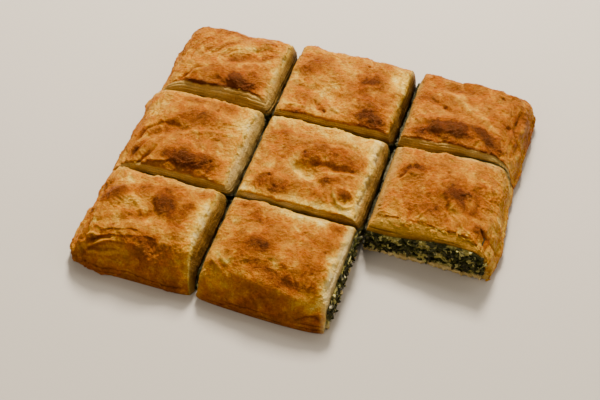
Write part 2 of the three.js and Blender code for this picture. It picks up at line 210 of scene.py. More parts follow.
# Lines in the pastry: kind, path, width, height. A fold stands up on the left of its path.
CREASES = [
    # back left
    ("valley", [(-107, 41), (-104, 47), (-99, 53), (-94, 55), (-88, 55)], 1.3, 1.9),
    ("ridge", [(-102, 41), (-98, 47), (-91, 51)], 1.8, 0.8),
    ("ridge", [(-86, 66), (-84, 60), (-81, 52), (-80, 47)], 1.5, 1.2),
    ("fold", [(-104, 41), (-92, 42), (-81, 43.5), (-74, 42)], 0.9, 1.0),
    ("valley", [(-84, 66), (-75, 69), (-66, 71), (-53, 77)], 2.4, 0.6),
    ("valley", [(-70, 80), (-60, 84), (-48, 86)], 1.8, 0.9),
    ("ridge", [(-112, 58), (-110, 70), (-106, 80)], 0.7, 0.6),
    ("valley", [(-107, 60), (-104, 72), (-99, 84)], 0.7, 0.7),
    ("ridge", [(-104, 60), (-99, 74), (-93, 85)], 0.7, 0.6),
    ("valley", [(-101, 63), (-95, 75), (-88, 86)], 0.7, 0.8),
    ("ridge", [(-98, 64), (-91, 76), (-83, 86)], 0.7, 0.6),
    ("valley", [(-95, 66), (-88, 76), (-79, 86)], 0.7, 0.8),
    ("ridge", [(-92, 66), (-84, 75), (-74, 83)], 0.7, 0.6),
    ("valley", [(-89, 67), (-81, 74), (-71, 80)], 0.7, 0.6),
    ("ridge", [(-86, 69), (-77, 74), (-66, 79)], 0.7, 0.4),
    # back centre
    ("ridge", [(-33, 43), (-25, 44), (-17, 43)], 1.2, 0.8),
    ("valley", [(-14, 52), (-10, 46), (-4, 42)], 1.6, 1.4),
    ("ridge", [(-6, 52), (-1, 46), (6, 44)], 1.3, 0.9),
    ("valley", [(-33, 62), (-22, 58), (-12, 64)], 2.8, 1.2),
    ("ridge", [(6, 60), (14, 68), (25, 74)], 2.2, 0.8),
    ("valley", [(9, 79), (18, 86), (28, 84)], 2.0, 0.8),
    # back right
    ("ridge", [(60, 86), (74, 77), (89, 65), (101, 58), (111, 53)], 2.8, 1.4),
    ("valley", [(54, 78), (66, 70), (80, 61)], 2.2, 0.9),
    ("valley", [(50, 49), (64, 53), (76, 54), (86, 52)], 2.2, 1.0),
    ("valley", [(116, 87), (116, 77), (114, 67), (117, 63), (119, 60), (118, 48)], 1.2, 0.8),
    ("valley", [(103, 67), (109, 65), (114, 66)], 1.3, 0.8),
    ("ridge", [(119, 86), (119.5, 77), (118, 68)], 1.8, 1.5),
    # middle left
    ("valley", [(-104, -1), (-110, -5), (-112, -14), (-112.5, -24), (-114, -34)], 1.3, 2.3),
    ("ridge", [(-106, -6), (-108.5, -13), (-109.5, -20), (-111, -28)], 1.2, 0.9),
    ("valley", [(-103, -10), (-106, -20), (-108.5, -27), (-110, -34)], 1.0, 1.3),
    ("ridge", [(-100, -13), (-103, -21), (-106, -29)], 1.1, 0.9),
    ("valley", [(-96, -18), (-99, -26), (-102, -31), (-105, -36)], 1.3, 1.9),
    ("fold", [(-104, -34.5), (-99, -32.5), (-97.5, -30.5), (-93, -30), (-87, -29.5), (-84, -27)], 0.9, 1.0),
    ("valley", [(-107, -3), (-100, 0), (-90, 1), (-78, -2)], 2.4, 1.3),
    ("ridge", [(-86, -3), (-74, -1), (-58, 4), (-48, 6)], 2.2, 1.0),
    ("valley", [(-84, -9), (-70, -7), (-56, -3)], 2.2, 0.7),
    # centre
    ("valley", [(-8, 0), (-7, 8), (-1, 14), (7, 17), (16, 18), (25, 17), (33, 11)], 1.9, 1.2),
    ("valley", [(-4, -6), (5, -3.5), (14, -4.5), (23, -4), (33, -1)], 2.0, 1.2),
    ("ridge", [(8, -15), (10, -10), (16, -8), (24, -7), (31, -5)], 1.8, 0.9),
    ("valley", [(9, -29), (7, -23), (5, -17)], 1.6, 1.2),
    ("ridge", [(21, -17), (20.5, -23), (24, -28), (31, -28.5), (36, -25)], 1.0, 1.1),
    ("valley", [(18, -18), (18.5, -24), (20, -29)], 1.4, 0.9),
    ("ridge", [(-13, -9), (-7, -13), (1, -18)], 1.8, 0.7),
    ("valley", [(-28, -22), (-23, -20), (-18, -20)], 0.9, 1.1),
    # middle right
    ("valley", [(53, 2), (58, 9), (62, 14), (67, 13)], 1.6, 1.8),
    ("ridge", [(57, 2), (62, 8), (68, 8)], 1.8, 0.9),
    ("ridge", [(92, -16), (99, -22), (105, -27), (111, -31)], 0.8, 0.8),
    ("ridge", [(73, -27), (78, -19), (80, -15)], 0.9, 0.8),
    ("valley", [(88, -11), (92, -18), (90, -25)], 1.8, 1.1),
    ("valley", [(73, -5), (79, -12), (83, -20)], 1.9, 1.1),
    ("ridge", [(69, -13), (75, -20), (79, -27)], 1.6, 0.9),
    ("valley", [(104, 8), (108, -5), (105, -16)], 2.2, 1.0),
    ("valley", [(78, 4), (86, 9), (96, 7), (100, 0)], 2.0, 1.0),
    ("ridge", [(80, -3), (88, -8), (97, -16), (103, -24)], 2.0, 0.9),
    ("valley", [(112, -20), (118, -24), (126, -22)], 1.0, 1.4),
    ("ridge", [(55, -11), (61, -17), (63, -26)], 1.6, 0.9),
    ("valley", [(66, -17), (68, -24), (66, -30)], 1.3, 0.9),
    # front left
    ("fold", [
        (-113, -97), (-107, -93.5), (-99, -91), (-92, -89.5), (-83, -88.5), (-74, -88), (-66, -88),
    ], 0.7, 0.3),
    ("fold", [(-113, -100), (-106, -97), (-98, -94.5), (-91, -93), (-85, -92)], 0.6, 0.35),
    ("fold", [(-106, -90), (-96, -86.5), (-86, -85), (-78, -85)], 0.6, 0.5),
    ("valley", [(-81, -61), (-78, -69), (-83, -77)], 2.2, 1.0),
    ("ridge", [(-98, -60), (-89, -66), (-85, -75)], 2.2, 0.9),
    ("ridge", [(-78, -44), (-67, -44), (-58, -51), (-52, -60)], 2.4, 1.1),
    ("valley", [(-62, -59), (-58, -68), (-61, -76)], 1.7, 0.9),
    ("valley", [(-111, -48), (-114, -58), (-115.5, -70), (-114.5, -82), (-113, -90), (-114, -98)], 1.1, 2.0),
    ("ridge", [(-113, -54), (-117, -66), (-117.5, -80), (-117, -92)], 1.0, 1.4),
    ("valley", [(-115, -50), (-119, -62), (-120.5, -76), (-119.5, -90), (-118, -97)], 0.9, 1.7),
    ("ridge", [(-121.5, -60), (-122, -76), (-121, -92)], 0.9, 1.2),
    ("ridge", [(-110, -60), (-112, -70), (-111.5, -78)], 1.2, 1.0),
    ("ridge", [(-111, -78), (-110.5, -88), (-108.5, -95)], 1.2, 0.9),
    ("ridge", [(-112, -93), (-107, -91.5), (-103, -92.5)], 0.9, 1.2),
    ("valley", [(-112, -95), (-106, -94), (-100, -93), (-95, -92.5)], 0.7, 1.2),
    ("ridge", [(-112, -98), (-106, -96.5), (-100, -95), (-95, -94)], 0.9, 1.2),
    ("valley", [(-111, -99.5), (-104, -98.5), (-97, -97.5), (-88, -97)], 0.7, 1.2),
    ("ridge", [(-110, -100.5), (-102, -99.5), (-94, -98.5)], 0.8, 0.7),
    # front centre
    ("valley", [(-19, -87), (-13, -86.5), (-5, -88.5), (5, -90), (16, -92), (25, -94)], 3.0, 0.4),
    ("ridge", [(-18, -93), (-8, -95), (4, -96.5), (16, -97), (26, -98), (35, -101)], 2.6, 0.8),
    ("ridge", [(-12, -76), (-13, -84), (-16, -88)], 1.2, 0.6),
    ("ridge", [(-19, -80), (-21, -86), (-23, -89)], 1.2, 0.5),
    ("ridge", [(-29, -82), (-27, -88), (-22, -91)], 1.2, 0.5),
    ("valley", [(-24, -82), (-25, -88)], 1.2, 0.6),
    ("ridge", [(-34, -88), (-30, -91), (-24, -94)], 1.0, 0.7),
    ("ridge", [(22, -80), (24, -92)], 0.9, 0.6),
    ("ridge", [(29, -84), (28, -93)], 0.8, 0.5),
    ("valley", [(14, -84), (18, -90), (24, -97)], 1.2, 0.4),
    ("fold", [(22, -104), (29, -102.5), (35, -101.5), (39, -103)], 0.6, 0.9),
    ("valley", [(-36, -60), (-28, -62), (-18, -57)], 1.6, 0.8),
    ("valley", [(10, -55), (20, -60), (30, -70)], 2.4, 0.8),
]

DEEPER, NARROWER = 1.1, 0.9  # factors for the heights and widths of all the lines

# How pale the lid is towards each of its cuts: left, right, front, back.
PALE = {
    ("back", "left"): (0.0, 0.6, 0.1, 0.0), ("back", "centre"): (0.3, 0.5, 0.6, 0.0),
    ("back", "right"): (0.2, 0.0, 0.3, 0.0), ("middle", "left"): (0.0, 0.4, 0.4, 0.6),
    ("middle", "centre"): (0.5, 1.4, 1.0, 1.1), ("middle", "right"): (0.0, 0.0, 0.2, 0.3),
    ("front", "left"): (0.0, 0.7, 0.0, 0.3), ("front", "centre"): (0.3, 0.9, 0.0, 0.5),
}

# Pieces that baked browner than the rest.
BROWNER = {
    ("back", "right"): 0.10, ("middle", "left"): 0.02, ("middle", "right"): 0.01, ("front", "centre"): 0.02,
}

# The front left corner, where the sheets were pinched together and fan out from.
PINCH = (-122.0, -97.0)

# Small holes in the skin, painted darker as shade, and their half widths.
PITS = [
    (-9.5, 44), (-5.5, 43), (-10.5, 49), (12, 88), (57.5, 86.5), (68, 69), (96, 74), (103, 87.5),
    (-6, 3), (-20, 4), (-18, -4), (-70, 20), (-98, -84), (-30, -70), (30, -66), (84, 14),
]
PIT_SIZE = (1.2, 1.0)

# How flaky the front lips are.
FLAKY = {("middle", "right"): 1.0, ("back", "left"): 0.08, ("middle", "left"): 0.05}

# The two pieces beside the missing one, and the way that their open cut faces.
EXPOSED = {("middle", "right"): (0, -1), ("front", "centre"): (1, 0)}

# How many loose bits there are along the open cuts.
SPINACH_SHREDS, FETA_CRUMBS, PASTRY_FLAKES = 1300, 250, 100


# ---------------------------------------------------------------- noise
# What makes a random number of a lattice corner's three whole numbers and a seed: factors,
# two rounds of mixing, each a shift and a factor, and the 32 bits that are kept.
CORNER_FACTORS = np.array([73856093, 19349663, 83492791], np.uint64)
SEED_FACTOR, SEED_START = 2654435, 97
MIXING = ((15, 2246822519), (13, 3266489917))
KEPT_BITS = np.uint64(0xFFFFFFFF)


def waves(points, size, seed):
    """Smooth noise of about -1 to 1: each corner of a lattice of this size has a random
    slope, and the heights that the eight slopes give at a point are blended."""
    place = np.asarray(points, float) / size
    cell = np.floor(place).astype(np.int64)
    inside = place - cell
    blend = inside ** 3 * (inside * (inside * 6 - 15) + 10)
    total = np.zeros(len(place))
    for corner in product((0, 1), repeat=3):
        mixed = (cell + corner).astype(np.uint64) * CORNER_FACTORS
        key = mixed[:, 0] ^ mixed[:, 1] ^ mixed[:, 2] ^ np.uint64(seed * SEED_FACTOR + SEED_START)
        for shift, factor in MIXING:
            key = (key ^ (key >> np.uint64(shift))) * np.uint64(factor) & KEPT_BITS
        slope = np.stack([key >> np.uint64(s) & np.uint64(1023) for s in (2, 12, 22)], 1) / 511.5 - 1
        weight = np.where(corner, blend, 1 - blend).prod(1)
        total += weight * (slope * (inside - corner)).sum(1)
    return 1.5 * total


def rough(points, size, seed, octaves=3):
    """Noise with finer noise on it: each octave has half the size and half the height."""
    return sum(waves(points, size / 2 ** n, seed + 31 * n) / 2 ** n for n in range(octaves))


def stray(points, reach, size, seed):
    """A random shift for each point, of about the reach at most, that changes smoothly."""
    return reach * np.stack([waves(points, size, seed + n) for n in range(3)], 1)


def smooth_step(start, end, x):
    """0 up to the start, 1 from the end on, and an S-shaped slope between them."""
    t = np.clip((x - start) / (end - start), 0, 1)
    return t * t * (3 - 2 * t)


def hump(x, width):
    """1 at 0, falling off on both sides as the exponential of minus the square."""
    return np.exp(-(x / width) ** 2)


# ---------------------------------------------------------------- the plan
class Span:
    """A stretch of the pie along X or Y. Each end faces a side, and is a rim or a cut."""

    def __init__(self, start, end, sides, rims):
        self.start, self.end = start, end
        self.sides, self.rims = sides, rims
        self.middle = (start + end) / 2

    def along(self, place):
        """-1 at the low end and 1 at the high end."""
        return 2 * (place - self.start) / (self.end - self.start) - 1

    def ends(self, place):
        """For each end: its side, whether it is a rim, the distance inwards, the way in."""
        distances = (place - self.start, self.end - place)
        return zip(self.sides, self.rims, distances, (1, -1))


def spans(length, cuts, gap, low_side, high_side):
    """The three spans that two cuts leave of a length."""
    sides = (low_side, high_side)
    return [
        Span(-length / 2, cuts[0] - gap / 2, sides, (True, False)),
        Span(cuts[0] + gap / 2, cuts[1] - gap / 2, sides, (False, False)),
        Span(cuts[1] + gap / 2, length / 2, sides, (False, True)),
    ]


COLUMNS = dict(zip(("left", "centre", "right"), spans(PIE_WIDTH, COLUMN_CUTS, COLUMN_GAP, "left", "right")))
ROWS = dict(zip(("front", "middle", "back"), spans(PIE_DEPTH, ROW_CUTS, ROW_GAP, "front", "back")))
PIECES = [(r, c) for r in ROWS for c in COLUMNS if (r, c) != ("front", "right")]


def settle(x, y, column, row):
    """The plan's moves: in from each corner of the pie, in beside each cut, out at bulges."""
    u = np.maximum(0, np.abs(x) - (PIE_WIDTH / 2 - CORNER_REACH)) / CORNER_REACH
    v = np.maximum(0, np.abs(y) - (PIE_DEPTH / 2 - CORNER_REACH)) / CORNER_REACH
    pull = CORNER_PULL * (u * v) ** 2
    moved_x = x - np.sign(x) * pull + NOTCH_PULL * notch(x, column, y, row)
    moved_y = y - np.sign(y) * pull + NOTCH_PULL * notch(y, row, x, column)
    for rows, middle, push, reach in BULGES:
        if not any(row is ROWS[name] for name in rows.split()):
            continue
        share = np.exp(-((x - middle[0]) ** 2 + (y - middle[1]) ** 2) / reach ** 2)
        moved_x = moved_x + push[0] * share
        moved_y = moved_y + push[1] * share
    for place in ROW_CUTS:
        apart = y - place
        shut = hump(apart, CLOSING_REACH) * smooth_step(CLOSING_FROM, CLOSING_TO, np.abs(x))
        moved_y = moved_y - CLOSING * np.sign(apart) * shut
    return moved_x, moved_y


def notch(place, span, across, cross_span):
    """Inward pull of a rim beside a cut: 1 at the side where the cut is, fading from both."""
    pull = sum(
        way * np.maximum(0, 1 - distance / NOTCH_REACH) ** 2
        for _, is_rim, distance, way in span.ends(place)
        if is_rim
    )
    t = cross_span.along(across)
    beside_cut = np.where(t < 0, not cross_span.rims[0], not cross_span.rims[1])
    return pull * beside_cut * t ** 8


def cut_at(cuts, side):
    return cuts.get(side, USUAL_CUT[side])


def between(ends, along):
    """A value that changes evenly from an edge's low end, at -1, to its high end, at 1."""
    return ends[0] + (ends[1] - ends[0]) * (along + 1) / 2


def drag(place, span, along, share, cuts, ragged):
    """A top point pulled back from the cuts, most at the cut and where the lid is high. The
    inset is ragged by some tenths of a millimetre."""
    moved = place
    for side, is_rim, distance, way in span.ends(place):
        if not is_rim:
            inset = between(cut_at(cuts, side).inset, along)
            fade = np.maximum(0, 1 - distance / DRAG_REACH)
            edge = np.maximum(0, 1 - distance / LIP_REACH)
            moved = moved + way * (inset * (1 + 0.25 * ragged) * fade + 0.5 * ragged * edge) * share ** 2
    return moved


def shoulder(place, span, cuts, cross_place, cross_span):
    """How far the top falls beside the cuts: a quarter of an ellipse, wider than it is high.
    Where a cut comes out at a rim, the edge is pinched and hardly falls."""
    pinch = 1.0
    for _, is_rim, distance, _ in cross_span.ends(cross_place):
        if is_rim:
            pinch = pinch * (0.25 + 0.75 * smooth_step(4, 24, distance))
    fall = 0.0
    for side, is_rim, distance, _ in span.ends(place):
        if not is_rim:
            height = cut_at(cuts, side).round * pinch
            share = np.clip(1 - distance / (2.4 * height + 0.01), 0, 1)
            fall = fall + height * (1 - np.sqrt(1 - 0.97 * share ** 2))
    return fall


def raised(x, y, column, row):
    """How much a rim is raised by the cut that comes out through it, as at the back corners:
    1 at the cut, falling off as a bell."""
    near = sum(hump(distance, RAISED_REACH) for _, is_rim, distance, _ in column.ends(x) if not is_rim)
    return np.clip(near, 0, 1) * (row is ROWS["back"]) * (y > row.middle)


def mitre(a, b):
    """Two shares of the height meet close to the smaller of the two, or at 0."""
    a, b = np.maximum(a, 1e-6), np.maximum(b, 1e-6)
    return (a ** -MITRE + b ** -MITRE - 1) ** (-1 / MITRE)


def mounds(x, y):
    """Sum of the blisters and hollows, each falling off as a bell."""
    return sum(
        (BLISTER if height > 0 else HOLLOW) * height * bell(x, y, middle, half, turn)
        for middle, half, turn, height in MOUNDS
    )


def bell(x, y, middle, half, turn):
    """1 at an oval's middle, falling off as the exponential of minus its distance squared."""
    angle = math.radians(turn)
    dx, dy = x - middle[0], y - middle[1]
    lengthwise = (dx * math.cos(angle) + dy * math.sin(angle)) / half[0]
    crosswise = (dy * math.cos(angle) - dx * math.sin(angle)) / half[1]
    return np.exp(-(lengthwise ** 2 + crosswise ** 2))


def blot(x, y, middle, half, turn):
    """As a bell, but with a flatter top and a firmer edge."""
    return np.exp(-np.log(1 / np.maximum(bell(x, y, middle, half, turn), 1e-9)) ** 1.25)


def sag(y, column, row):
    """Where a lid's right face is in a cut between two columns, its lower edge has slumped over
    the filling. 0 at the cut's crossings and where the next piece is missing, otherwise 1."""
    if column.rims[1] or (column is COLUMNS["centre"] and row is ROWS["front"]):
        return np.zeros_like(y)
    t = np.clip(row.along(y), -1, 1)
    at_cut = np.where(t < 0, not row.rims[0], not row.rims[1])
    return 1 - at_cut * t ** 10


def lid_height(x, y, column, row):
    """Full height of the top: an edge height, a crown mid piece, the rise at the right and
    the mounds, which fade towards the piece's edges."""
    along_row = row.along(y)
    if row is ROWS["front"]:
        along_row = np.maximum(along_row, 0.75 * along_row)
    crown = (1 - np.abs(column.along(x)) ** 3) * (1 - np.abs(along_row) ** 3)
    rise = smooth_step(LID_RISE["from"], LID_RISE["to"], x)
    rise = rise * (1 - smooth_step(LID_RISE["end"], LID_RISE["gone"], x))
    lift = mounds(x, y) * np.minimum(1, 0.35 + crown)
    return EDGE_HEIGHT + LID_RISE["height"] * rise + CROWN_HEIGHT * crown + lift


def underside_height(x):
    """Full height of the lid's underside, which is also the filling's top."""
    return FILLING_HEIGHT + FILLING_RISE["height"] * smooth_step(FILLING_RISE["from"], FILLING_RISE["to"], x)


# ---------------------------------------------------------------- lines across a piece
def rim_curve(profile, spread, set_back, count):
    """Even points along a rim's section with its corners rounded: the section is cut into
    many short steps, and each point is averaged with its neighbours, with the ends kept."""
    fine, blur = 240, 21
    inward, share = np.array(profile, float).T
    inward = set_back + inward * (spread - set_back)
    for _ in range(2):
        travelled = np.concatenate([[0], np.cumsum(np.hypot(np.diff(inward), np.diff(share) * EDGE_HEIGHT))])
        even = np.linspace(0, travelled[-1], fine)
        inward, share = np.interp(even, travelled, inward), np.interp(even, travelled, share)
        inward, share = (
            np.convolve(np.pad(line, blur // 2, "reflect", reflect_type="odd"), np.ones(blur) / blur, "valid")
            for line in (inward, share)
        )
    at = np.linspace(0, fine - 1, count)
    index = np.arange(fine)
    return np.interp(at, index, inward), np.interp(at, index, np.clip(share, 0, 1))


def stations(span, profile, set_back, step):
    """Mesh lines across a span: for each, its place and its share of the full height."""
    places, shares, inner = [], [], []
    for side, is_rim, _, way in span.ends(0.0):
        end = span.start if way > 0 else span.end
        if is_rim:
            count = int((RIM_SPREAD[side] + EDGE_HEIGHT) / step)
            section = RIM_FRONT if side == "front" and profile is RIM_OUTSIDE else profile
            inward, share = rim_curve(section, RIM_SPREAD[side], set_back, count)
        else:
            inward, share = np.zeros(1), np.ones(1)
        places.append(end + way * inward)
        shares.append(share)
        inner.append(end + way * (RIM_SPREAD[side] if is_rim else 0))
    steps = int((inner[1] - inner[0]) / step)
    even = np.linspace(places[0][-1], places[1][-1], steps + 1)[1:-1]
    place = np.concatenate([places[0], even, places[1][::-1]])
    share = np.concatenate([shares[0], np.ones(steps - 1), shares[1][::-1]])
    return place, share


def inner_share(place, span):
    """Share of the height that the lid's underside has at a place, from its section."""
    share = np.ones_like(place)
    for side, is_rim, distance, _ in span.ends(place):
        if is_rim:
            inward, heights = np.array(RIM_INSIDE[2:], float).T
            reach = RIM_WALL + inward * (RIM_SPREAD[side] - RIM_WALL)
            share = np.minimum(share, np.interp(distance, reach, heights))
    return share


def border(nx, ny):
    """Indices of a grid's edge, once round from its low corner, anticlockwise."""
    low, high = np.zeros(max(nx, ny), int), np.arange(max(nx, ny))
    i = [high[:nx - 1], low[:ny - 1] + nx - 1, high[nx - 1:0:-1], low[:ny - 1]]
    j = [low[:nx - 1], high[:ny - 1], low[:nx - 1] + ny - 1, high[ny - 1:0:-1]]
    return np.concatenate(i), np.concatenate(j)


def underside(x, y, column, row):
    """Height of the lid's underside at a place of the plain plan."""
    return underside_height(x) * mitre(inner_share(x, column), inner_share(y, row))


def ring_faces(first, second):
    """Four-sided faces between two rings of as many points, given by their indices."""
    return np.stack([first, np.roll(first, -1), np.roll(second, -1), second], 1)


def stack_faces(count, total):
    """Faces of a stack of rings, numbered upwards, each of as many points. A fan closes each
    end: the first point after the rings is the pole on top and the second the one below."""
    rings = [n * count + np.arange(count) for n in range(total)]
    quads = np.concatenate([ring_faces(a, b) for a, b in zip(rings, rings[1:])])
    top, bottom = np.full(count, total * count), np.full(count, total * count + 1)
    fans = np.concatenate([
        np.stack([rings[-1], np.roll(rings[-1], -1), top], 1),
        np.stack([np.roll(rings[0], -1), rings[0], bottom], 1),
    ])
    return [quads, fans]


# ---------------------------------------------------------------- relief, browning and painted shade
def from_path(x, y, path):
    """Distance from a bent line, positive on its left and negative on its right, and how far
    along the line the nearest place is, from 0 to 1."""
    nearest, signed, along = np.full(x.shape, np.inf), np.zeros(x.shape), np.zeros(x.shape)
    for n, ((ax, ay), (bx, by)) in enumerate(zip(path, path[1:])):
        dx, dy = bx - ax, by - ay
        t = np.clip(((x - ax) * dx + (y - ay) * dy) / (dx * dx + dy * dy), 0, 1)
        ex, ey = x - ax - t * dx, y - ay - t * dy
        distance = np.hypot(ex, ey)
        closer = distance < nearest
        nearest = np.where(closer, distance, nearest)
        signed = np.where(closer, np.where(dx * ey - dy * ex >= 0, distance, -distance), signed)
        along = np.where(closer, (n + t) / (len(path) - 1), along)
    return signed, along


def creases(x, y):
    """Heights of all the lines, and their painted shade: a valley or ridge is a narrow bell across its path.
    A fold rises at once on its left, and falls off slowly from there. A valley is painted darker as shade, a
    ridge lighter as a painted highlight, and a fold casts a painted shadow just on its right."""
    height, shade = np.zeros_like(x), np.zeros_like(x)
    for kind, path, width, depth in CREASES:
        depth, width = DEEPER * depth, NARROWER * width
        reach = 8 * width
        low, high = np.min(path, 0) - reach, np.max(path, 0) + reach
        near = np.flatnonzero((x > low[0]) & (x < high[0]) & (y > low[1]) & (y < high[1]))
        if len(near) == 0:
            continue
        signed, along = from_path(x[near], y[near], path)
        taper = smooth_step(0, 0.2, along) * smooth_step(1, 0.8, along)
        band = hump(signed, width) * taper
        if kind == "fold":
            step_up = hump(np.minimum(signed, 0), 0.4 * width)
            slope_off = np.exp(-np.maximum(signed, 0) / (3 * width))
            height[near] += depth * slope_off * step_up * taper
            # Painted shadow just on the fold's right, where it steps down.
            shade[near] += 0.15 * hump(signed + width, width) * taper
        elif kind == "valley":
            height[near] -= depth * band
            # Painted shade in the valley.
            shade[near] += 0.07 * min(depth, 2) * band
        else:
            height[near] += depth * band
            # Painted highlight on the ridge.
            shade[near] -= 0.06 * band
    return height, shade


# ---------------------------------------------------------------- meshes
def surface(name, points, faces, attributes, smooth=True):
    """Makes an object from points in millimetres, four-sided or three-sided faces, and values
    for each point. Faces are lists of index arrays."""
    mesh = bpy.data.meshes.new(name)
    points = np.asarray(points, np.float32) * MM
    faces = [np.asarray(block, np.int32) for block in faces]
    corners = np.concatenate([block.ravel() for block in faces])
    sizes = np.concatenate([np.full(len(block), block.shape[1], np.int32) for block in faces])
    mesh.vertices.add(len(points))
    mesh.vertices.foreach_set("co", points.ravel())
    mesh.loops.add(len(corners))
    mesh.loops.foreach_set("vertex_index", corners)
    mesh.polygons.add(len(sizes))
    mesh.polygons.foreach_set("loop_start", np.concatenate([[0], np.cumsum(sizes)[:-1]]).astype(np.int32))
    mesh.polygons.foreach_set("loop_total", sizes)
    mesh.update(calc_edges=True)
    mesh.polygons.foreach_set("use_smooth", np.full(len(sizes), smooth))
    for key, values in attributes.items():
        layer = mesh.attributes.new(key, "FLOAT", "POINT")
        layer.data.foreach_set("value", np.asarray(values, np.float32))
    thing = bpy.data.objects.new(name, mesh)
    bpy.context.scene.collection.objects.link(thing)
    return thing


def outward(points, quads):
    """A normal at each point: the mean of the faces round it, by their diagonals' cross."""
    corners = points[quads]
    face_normal = np.cross(corners[:, 2] - corners[:, 0], corners[:, 3] - corners[:, 1])
    total = np.zeros_like(points)
    for n in range(4):
        for axis in range(3):
            total[:, axis] += np.bincount(quads[:, n], face_normal[:, axis], len(points))
    return total / np.maximum(np.linalg.norm(total, axis=1, keepdims=True), 1e-9)


# Places on a finished piece where loose bits can lie: points, normals, and how likely each is.
Spots = namedtuple("Spots", "points normals chance")

# What the points of a lid are: their places in the plain plan, whether they are on the skin and
# on a cut face, how far up the face, and how near the floor where a face is cut through a rim.
Marks = namedtuple("Marks", "plain is_skin on_cut up wall")


def lid_top(row_name, column_name):
    """The grid over a lid's top and down its rims: places in the plain plan, points, and how
    many lines it has each way."""
    row, column = ROWS[row_name], COLUMNS[column_name]
    top_x, share_x = stations(column, RIM_OUTSIDE, 0.0, MESH_STEP)
    top_y, share_y = stations(row, RIM_OUTSIDE, 0.0, MESH_STEP)
    x, y = np.meshgrid(top_x, top_y, indexing="ij")
    grid_x, grid_y = np.meshgrid(share_x, share_y, indexing="ij")
    share = mitre(grid_x, grid_y ** (1 - 0.6 * raised(x, y, column, row)))
    flat = np.stack([x.ravel(), y.ravel(), np.zeros(x.size)], 1)
    ragged = (0.8 * waves(flat, 14, 3) + 0.5 * waves(flat, 4, 4)).reshape(x.shape)
    cuts = CUTS[row_name, column_name]
    fall = np.hypot(shoulder(x, column, cuts, y, row), shoulder(y, row, cuts, x, column))
    x, y = (
        drag(x, column, row.along(y), share, cuts, ragged),
        drag(y, row, column.along(x), share, cuts, ragged),
    )
    top_z = (lid_height(x, y, column, row) - fall) * share
    sx, sy = settle(x, y, column, row)
    return flat[:, :2], np.stack([sx.ravel(), sy.ravel(), top_z.ravel()], 1), x.shape


def lid_edge(column, row, i, j):
    """The lower edge of a lid's sides, at these mesh lines: places in the plain plan, points,
    and how much of the full height the underside has there."""
    under_x, share_x = stations(column, RIM_INSIDE, RIM_WALL, MESH_STEP)
    under_y, share_y = stations(row, RIM_INSIDE, RIM_WALL, MESH_STEP)
    x, y, share = under_x[i], under_y[j], mitre(share_x[i], share_y[j])
    sx, sy = settle(x, y, column, row)
    slump = sag(y, column, row) * (i == len(under_x) - 1)
    z = underside_height(x) * share - SAG_DOWN * slump
    return np.stack([x, y], 1), np.stack([sx + SAG_OUT * slump, sy, np.maximum(z, 0)], 1), share


def make_lid(row_name, column_name, material):
    """A lid: a grid over its top and down its rims, rows down to the edge of its underside,
    and rings that close the underside over the filling."""
    row, column = ROWS[row_name], COLUMNS[column_name]
    top_plain, top, (nx, ny) = lid_top(row_name, column_name)
    number = np.arange(nx * ny).reshape(nx, ny)
    top_quads = np.stack(
        [number[:-1, :-1], number[1:, :-1], number[1:, 1:], number[:-1, 1:]], -1
    ).reshape(-1, 4)

    # Side rows, from the top's border down to the underside's.
    i, j = border(nx, ny)
    loop = number[i, j]
    start, edge, under_share = lid_edge(column, row, i, j)
    upward = np.linspace(1, 0, FACE_ROWS + 1)[1:]
    rows = []
    for up in upward:
        mix = np.array([up ** 1.7, up ** 1.7, up])
        rows.append(edge + (top[loop] - edge) * mix)
    side = np.concatenate(rows)
    side_number = nx * ny + np.arange(len(side)).reshape(FACE_ROWS, -1)
    rings = [loop, *side_number]

    # Rings over the filling, and a pole in the middle.
    middle = np.array([column.middle, row.middle])
    ring_points = []
    for inward in (0.08, 0.3, 0.7):
        at_x, at_y = (start + (middle - start) * inward).T
        z = underside(at_x, at_y, column, row)
        ring_points.append(np.stack([*settle(at_x, at_y, column, row), z], 1))
    pole = np.array([[*middle, underside_height(middle[0])]])
    count = len(loop)
    base_number = nx * ny + len(side)
    rings += [base_number + n * count + np.arange(count) for n in range(len(ring_points))]
    points = np.concatenate([top, side, *ring_points, pole])
    quads = np.concatenate([top_quads, *(ring_faces(b, a) for a, b in zip(rings, rings[1:]))])
    fan = np.stack([rings[-1], np.full(count, len(points) - 1), np.roll(rings[-1], -1)], 1)

    # What each point is.
    on_cut, up, wall, is_skin = (np.full(len(points), value) for value in (0.0, 1.0, 0.0, 0.0))
    plain = np.tile(middle, (len(points), 1))
    plain[:nx * ny] = top_plain
    plain[side_number] = top_plain[loop]
    is_skin[:nx * ny] = 1
    on_cut[side_number] = np.select(
        [(j == 0) & (i < nx - 1), i == nx - 1, j == ny - 1],
        [not row.rims[0], not column.rims[1], not row.rims[1]],
        not column.rims[0],
    )
    up[side_number] = upward[:, None]
    wall[side_number] = 1 - under_share
    marks = Marks(plain, is_skin, on_cut, up, wall)
    return finish_lid(row_name, column_name, points, quads, fan, marks, material)


def flakes(points, size, stretch, seed):
    """Flakes that lie in rows one on the other: a sharp edge where noise passes 0, and a slope
    behind it. The noise is drawn out along a direction that turns slowly over the pie."""
    turn = 0.25 + 0.7 * waves(points, 70, seed)
    along = points[:, 0] * np.cos(turn) + points[:, 1] * np.sin(turn)
    across = points[:, 1] * np.cos(turn) - points[:, 0] * np.sin(turn)
    contour = waves(np.stack([along / stretch, across, points[:, 2]], 1), size, seed + 1)
    return smooth_step(0, 0.09, contour) * np.exp(-np.maximum(contour, 0) / 0.22)


# Relief of the skin in millimetres.
RELIEF = {
    "swell": 2.4, "pucker": 0.45, "wrinkle": 0.5, "big flakes": 0.7, "small flakes": 0.5,
    "crinkle": 0.3, "grain": 0.25, "pimples": 0.5,
}


